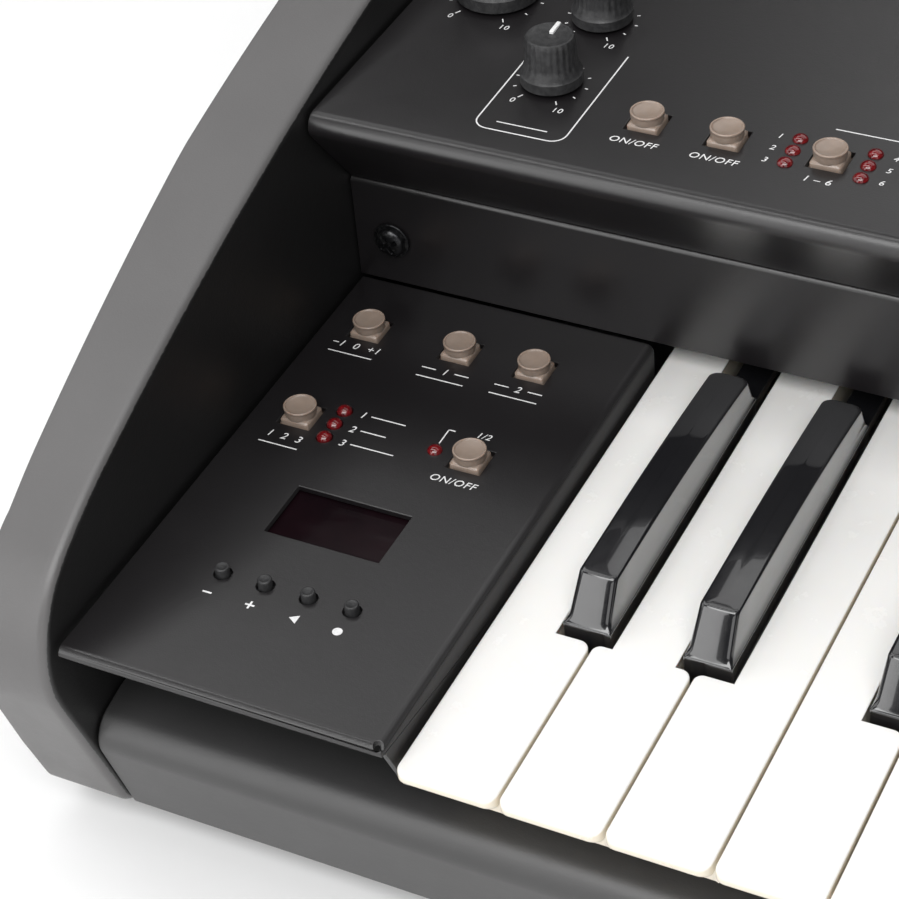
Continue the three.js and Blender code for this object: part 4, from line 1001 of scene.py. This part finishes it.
def block_marks():
    """The block's prints: numbers and rules by the buttons, a hook at the lamp and four signs."""
    z = COVER_TOP
    shapes = [lettering("\u22121  0  +1", -68.3, 116.1, z), rule(-74.2, 112.7, -62.4, 112.7, z)]
    for x, y, text in ((-43.5, 113.4, "1"), (-24.3, 113.6, "2")):
        shapes += flanked(text, x, y + 1.4, z, 6.2)
        shapes.append(rule(x - 6.2, y - 1.9, x + 6.2, y - 1.9, z))
    shapes += [lettering("1  2  3", -68.3, 79.9, z), rule(-73.4, 76.5, -63.2, 76.5, z)]
    for text, y, length in (("1", 93.4, 9.0), ("2", 87.9, 6.6), ("3", 82.7, 11.2)):
        shapes += [lettering(text, -54.4, y, z), rule(-52.3, y, length - 52.3, y, z)]
    shapes.append(lettering("ON/OFF", -24.2, 79.6, z, 2.2))
    hook = [(-33.1, 90.6), (-33.1, 93.0), (-33.1, 95.4), (-33.0, 95.72), (-32.6, 95.8), (-31.4, 95.8)]
    shapes.append(ribbon(hook, 0.3, z))
    shapes.append(lettering("1/2", -24.4, 96.6, z, 2.0))
    shapes += [rule(-59.6, 26.7, -57.3, 26.7, z, 0.45), cross(-47.6, 26.6, 1.15, 0.24, z)]
    shapes += [arrow(-36.4, 26.4, 1.3, z), dot(-25.8, 26.4, 1.15, z)]
    return shapes


def panel_marks():
    """The panel's prints: numbers and rules, a bracket round the tone knob, dials and scales."""
    z = PANEL_TOP
    shapes = [lettering("ON/OFF", x, 141.9, z, 2.2) for x in (-4.6, 14.9)]
    shapes += [lettering("1 \u2013 6", 39.4, 141.9, z, 2.2), rule(36.5, 162.2, 78.0, 162.2, z)]
    for index, (x, y) in enumerate(PANEL_LAMPS):
        shapes.append(lettering(str(index + 1), x + (-4.8 if index < 3 else 4.8), y, z, 1.9))
    corner = np.linspace(0, math.pi / 2, 7)
    left = np.column_stack([-38.8 - 3.5 * np.cos(corner), 139.2 - 3.5 * np.sin(corner)])
    right = np.column_stack([-23.2 + 3.5 * np.sin(corner), 139.2 - 3.5 * np.cos(corner)])
    sides = [(-42.3, 174.5), (-42.3, 150.0)], [(-31.0, 135.7)], [(-19.7, 150.0), (-19.7, 174.5)]
    path = np.concatenate([sides[0], left, sides[1], right, sides[2]])
    shapes += [ribbon(path, 0.34, z), rule(-37.4, 139.0, -24.6, 139.0, z)]
    for x, y, radius, _ in KNOBS.values():
        shapes += scale_round(x, y, radius, z)
    for index, x in enumerate(DRAWBARS):
        shapes.append(lettering(str(index + 1), x, 146.6, z, 2.2))
        for step in range(9):
            y = 158 + 4.75 * step
            shapes.append(rule(x + 7.4, y, x + (9.6 if step % 4 == 0 else 8.9), y, z, 0.3))
    return shapes


# Rear


def jack_socket(x, z):
    """A ring nut of six flats round a threaded bush with a bore."""
    six = np.linspace(0, 2 * math.pi, 6, endpoint=False) + 0.2
    flats = 6.6 * np.column_stack([np.cos(six), np.sin(six)])
    nut = loft([level(flats * share, rise) for share, rise in ((0.97, 0.1), (1, 0.3), (1, 1.7), (0.94, 2.0))])
    profile = [(0.01, 0.2), (4.6, 0.2), (4.6, 2.9), (4.3, 3.2), (3.4, 3.2), (3.2, 3.0), (3.2, 0.6)]
    return [on_rear(shape, x, z) for shape in (nut, turned(profile + [(0.01, 0.6)], 40))]


def round_socket(x, z):
    """A five-pole socket: a moulded ring with a recess, a key and five small bores' collars."""
    profile = [(0.01, 0.2), (8.6, 0.2), (8.6, 1.5), (8.2, 1.9), (6.9, 1.9), (6.6, 1.6), (6.6, 0.5)]
    collar = turned([(0.01, 0.3), (0.75, 0.3), (0.75, 0.9), (0.45, 0.9), (0.4, 0.6), (0.01, 0.6)], 16)
    shapes = [turned(profile + [(0.01, 0.5)], 48)]
    for angle in np.radians((0, 45, 90, 135, 180)):
        shapes.append(shifted(collar, 4.2 * math.cos(angle), 4.2 * math.sin(angle), 0))
    shapes.append(bar(-1.1, 1.1, -6.8, -5.6, 0.3, 1.6, 0.2))
    return [on_rear(shape, x, z) for shape in shapes]


def small_screw():
    """A pan head with one slot: its height is 0.7 + 1.1 (1 - (r / 3)^2.4)^0.5, less 0.8 in the slot."""
    radius = np.concatenate([[3.0], np.linspace(3.0, 0.02, 22)])
    angle = np.linspace(0, 2 * math.pi, 60, endpoint=False)
    r, a = np.meshgrid(radius, angle, indexing="ij")
    slot = np.clip((0.55 - np.abs(r * np.sin(a))) / 0.15, 0, 1)
    z = 0.7 + 1.1 * (1 - (r / 3.0) ** 2.4) ** 0.5 - 0.8 * slot
    z[0], z[1] = -0.5, 0.5
    return loft(np.stack([r * np.cos(a + 0.7), r * np.sin(a + 0.7), z], -1))


def make_rear():
    """The rear face: four jack sockets, two round sockets, a rocker switch, screws and inlet pins."""
    socket_row, inlet_row, screw_rows = -22.0, -28.0, (-46.0, 54.0)
    shapes = [piece for x in (120.0, 142.0, 164.0, 186.0) for piece in jack_socket(x, socket_row)]
    make_piece("jack_sockets", shapes, "zinc_steel", angle=35, finish="supply_alloy")
    shapes = [piece for x in (226.0, 252.0) for piece in round_socket(x, socket_row)]
    make_piece("round_sockets", shapes, "drawbar_black", angle=35)
    screws = [(x, z) for x in (-70.0, 130.0, 340.0, 550.0, 760.0, 800.0, 918.0) for z in screw_rows]
    make_piece("rear_screws", [on_rear(small_screw(), x, z) for x, z in screws], "screw_steel", angle=50)
    plate_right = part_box("power_supply")[1].x * 1000 + FRAME_ORIGIN[0]
    from_cheek, half_width, seat_gap = 27, 50, 0.3
    inlet = plate_right - from_cheek - half_width + seat_gap
    pin = bar(-1.0, 1.0, -2.0, 2.0, -15.9, -3.0, 0.3)
    pins = [on_rear(pin, inlet + dx, inlet_row + dz) for dx, dz in ((-7, -2), (7, -2), (0, 3.2))]
    make_piece("inlet_pins", pins, "zinc_steel", angle=35, finish="contact_brass")
    surround = [on_rear(bar(-8, 8, -11, 11, -0.3, 1.6, 0.4), inlet + 38, inlet_row)]
    make_piece("switch_surround", surround, "drawbar_black", angle=35)
    points, faces = bar(-5.4, 5.4, -8.6, 8.6, 1.0, 3.2, 0.5)
    points[:, 2] += np.where(points[:, 2] > 2, 0.045 * (points[:, 1] - 8.6), 0)
    make_piece("switch_rocker", [on_rear((points, faces), inlet + 38, inlet_row)], "dark_plastic", angle=35)


# Case


def make_case():
    """The sheets, rail, tray, chassis and supply with rounded edges, and the turned feet."""
    for node, slot, width in (
        ("left_block_cover", "case_paint", 0.22),
        ("right_block_cover", "case_paint", 0.22),
        ("top_panel", "case_paint", 0.2),
        ("key_fascia", "case_paint", 0.2),
        ("front_rail", "rail_paint", 0.6),
        ("rear_panel", "case_paint", 0.5),
        ("base_tray", "zinc_steel", 0.4),
        ("power_supply", "supply_alloy", 0.4),
        ("key_chassis", "zinc_steel", 0.3),
        ("display_window", "display_glass", 0.3),
    ):
        refined(node, slot, width)
    for side in ("front_left", "front_right", "rear_left", "rear_right"):
        name = "foot_" + side
        low, high = (np.array(corner) * 1000 + FRAME_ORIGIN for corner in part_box(name))
        x, y = (low + high)[:2] / 2
        z0, z1 = low[2], high[2]
        profile = [(0.01, z0), (9.6, z0), (10.3, z0 + 0.4), (10.7, z0 + 1.4), (11, z0 + 3), (10.6, z0 + 3.6)]
        profile += [(10.6, z0 + 4.4), (11.2, z0 + 5), (11.9, z1 - 1.2), (12, z1), (0.01, z1)]
        make_piece(name + "_pad", [shifted(turned(profile, 56), x, y, 0)], "foot_rubber", "case", name, 50)


def make_stage():
    """A pale floor and soft lights: three overhead, three behind, two low at the front, one at the left.

    Each light's row gives its place, the place that it faces, its width and height and its power.
    """
    corners = [Vector((x, y, 0)) for x, y in ((-4, -4), (4, -4), (4, 4), (-4, 4))]
    mesh = bpy.data.meshes.new("floor")
    mesh.from_pydata(corners, [], [(0, 1, 2, 3)])
    mesh.materials.append(finishes["studio_floor"])
    floor = bpy.data.objects.new("floor", mesh)
    bpy.context.scene.collection.objects.link(floor)
    lights = {
        "overhead_left": ((-1.05, -0.1, 1.85), (-0.7, -0.1, 0), 0.3, 2.2, 8.3),
        "overhead_right": ((0.2, -0.4, 1.85), (0, -0.4, 0), 0.3, 1.6, 3.3),
        "overhead_front": ((-0.1, -1.5, 1.9), (-0.35, 0, 0.1), 2.4, 1.3, 51.9),
        "behind": ((0.04, 1.65, 1.58), (-0.2, 0, 0.1), 2.36, 1.0, 7.8),
        "behind_left": ((-1.61, 0.92, 2.04), (-0.46, -0.1, 0.07), 1.2, 0.8, 4.2),
        "behind_high": ((-0.1, 1.0, 2.3), (-0.4, 0, 0.1), 2.4, 0.6, 5.0),
        "front_left": ((-1.42, -2.05, 0.68), (-0.4, 0, 0.1), 1.15, 1.5, 14.1),
        "front_right": ((0.85, -2.1, 0.45), (-0.4, 0, 0.1), 1.6, 1.1, 7.2),
        "left": ((-2.1, -0.5, 0.8), (-0.5, 0, 0), 1.6, 1.2, 7.2),
    }
    for name, (place, aim, width, height, power) in lights.items():
        data = bpy.data.lights.new(name, "AREA")
        data.shape = "RECTANGLE"
        data.size, data.size_y, data.energy = width, height, power
        light = bpy.data.objects.new(name, data)
        light.location = place
        light.rotation_euler = (Vector(aim) - Vector(place)).to_track_quat("-Z", "Y").to_euler()
        bpy.context.scene.collection.objects.link(light)
    world = bpy.data.worlds.new("studio")
    world.use_nodes = True
    sky = world.node_tree.nodes["Background"].inputs
    sky["Color"].default_value, sky["Strength"].default_value = (1, 1, 1, 1), 0.04
    bpy.context.scene.world = world
    bpy.context.scene.view_settings.view_transform = "Standard"


def make_camera():
    """The photograph's camera, as solved from the key lines: its right, its up and its place."""
    data = bpy.data.cameras.new("camera")
    data.sensor_width, data.lens = 36, 107.43
    data.clip_start, data.clip_end = 0.01, 50
    camera = bpy.data.objects.new("camera", data)
    right = Vector((0.895221, 0.43959, -0.073077))
    up = Vector((-0.234586, 0.604313, 0.76143))
    turn = Matrix((right, up, right.cross(up))).transposed().to_4x4()
    camera.matrix_world = Matrix.Translation((-0.218331, -0.482477, 0.473781)) @ turn
    bpy.context.scene.collection.objects.link(camera)
    bpy.context.scene.camera = camera


make_stage()
make_camera()
make_case()
make_cheeks()
make_keys()
make_controls()
make_piece("block_prints", block_marks(), "drawbar_white", angle=35, finish="white_ink")
make_piece("panel_prints", panel_marks(), "drawbar_white", angle=35, finish="white_ink")
make_rear()
for node in frame["nodes"].values():
    slot = node.data.materials[0].name if node.data.materials else ""
    if slot in finishes:
        node.data.materials.clear()
        node.data.materials.append(finishes[slot])
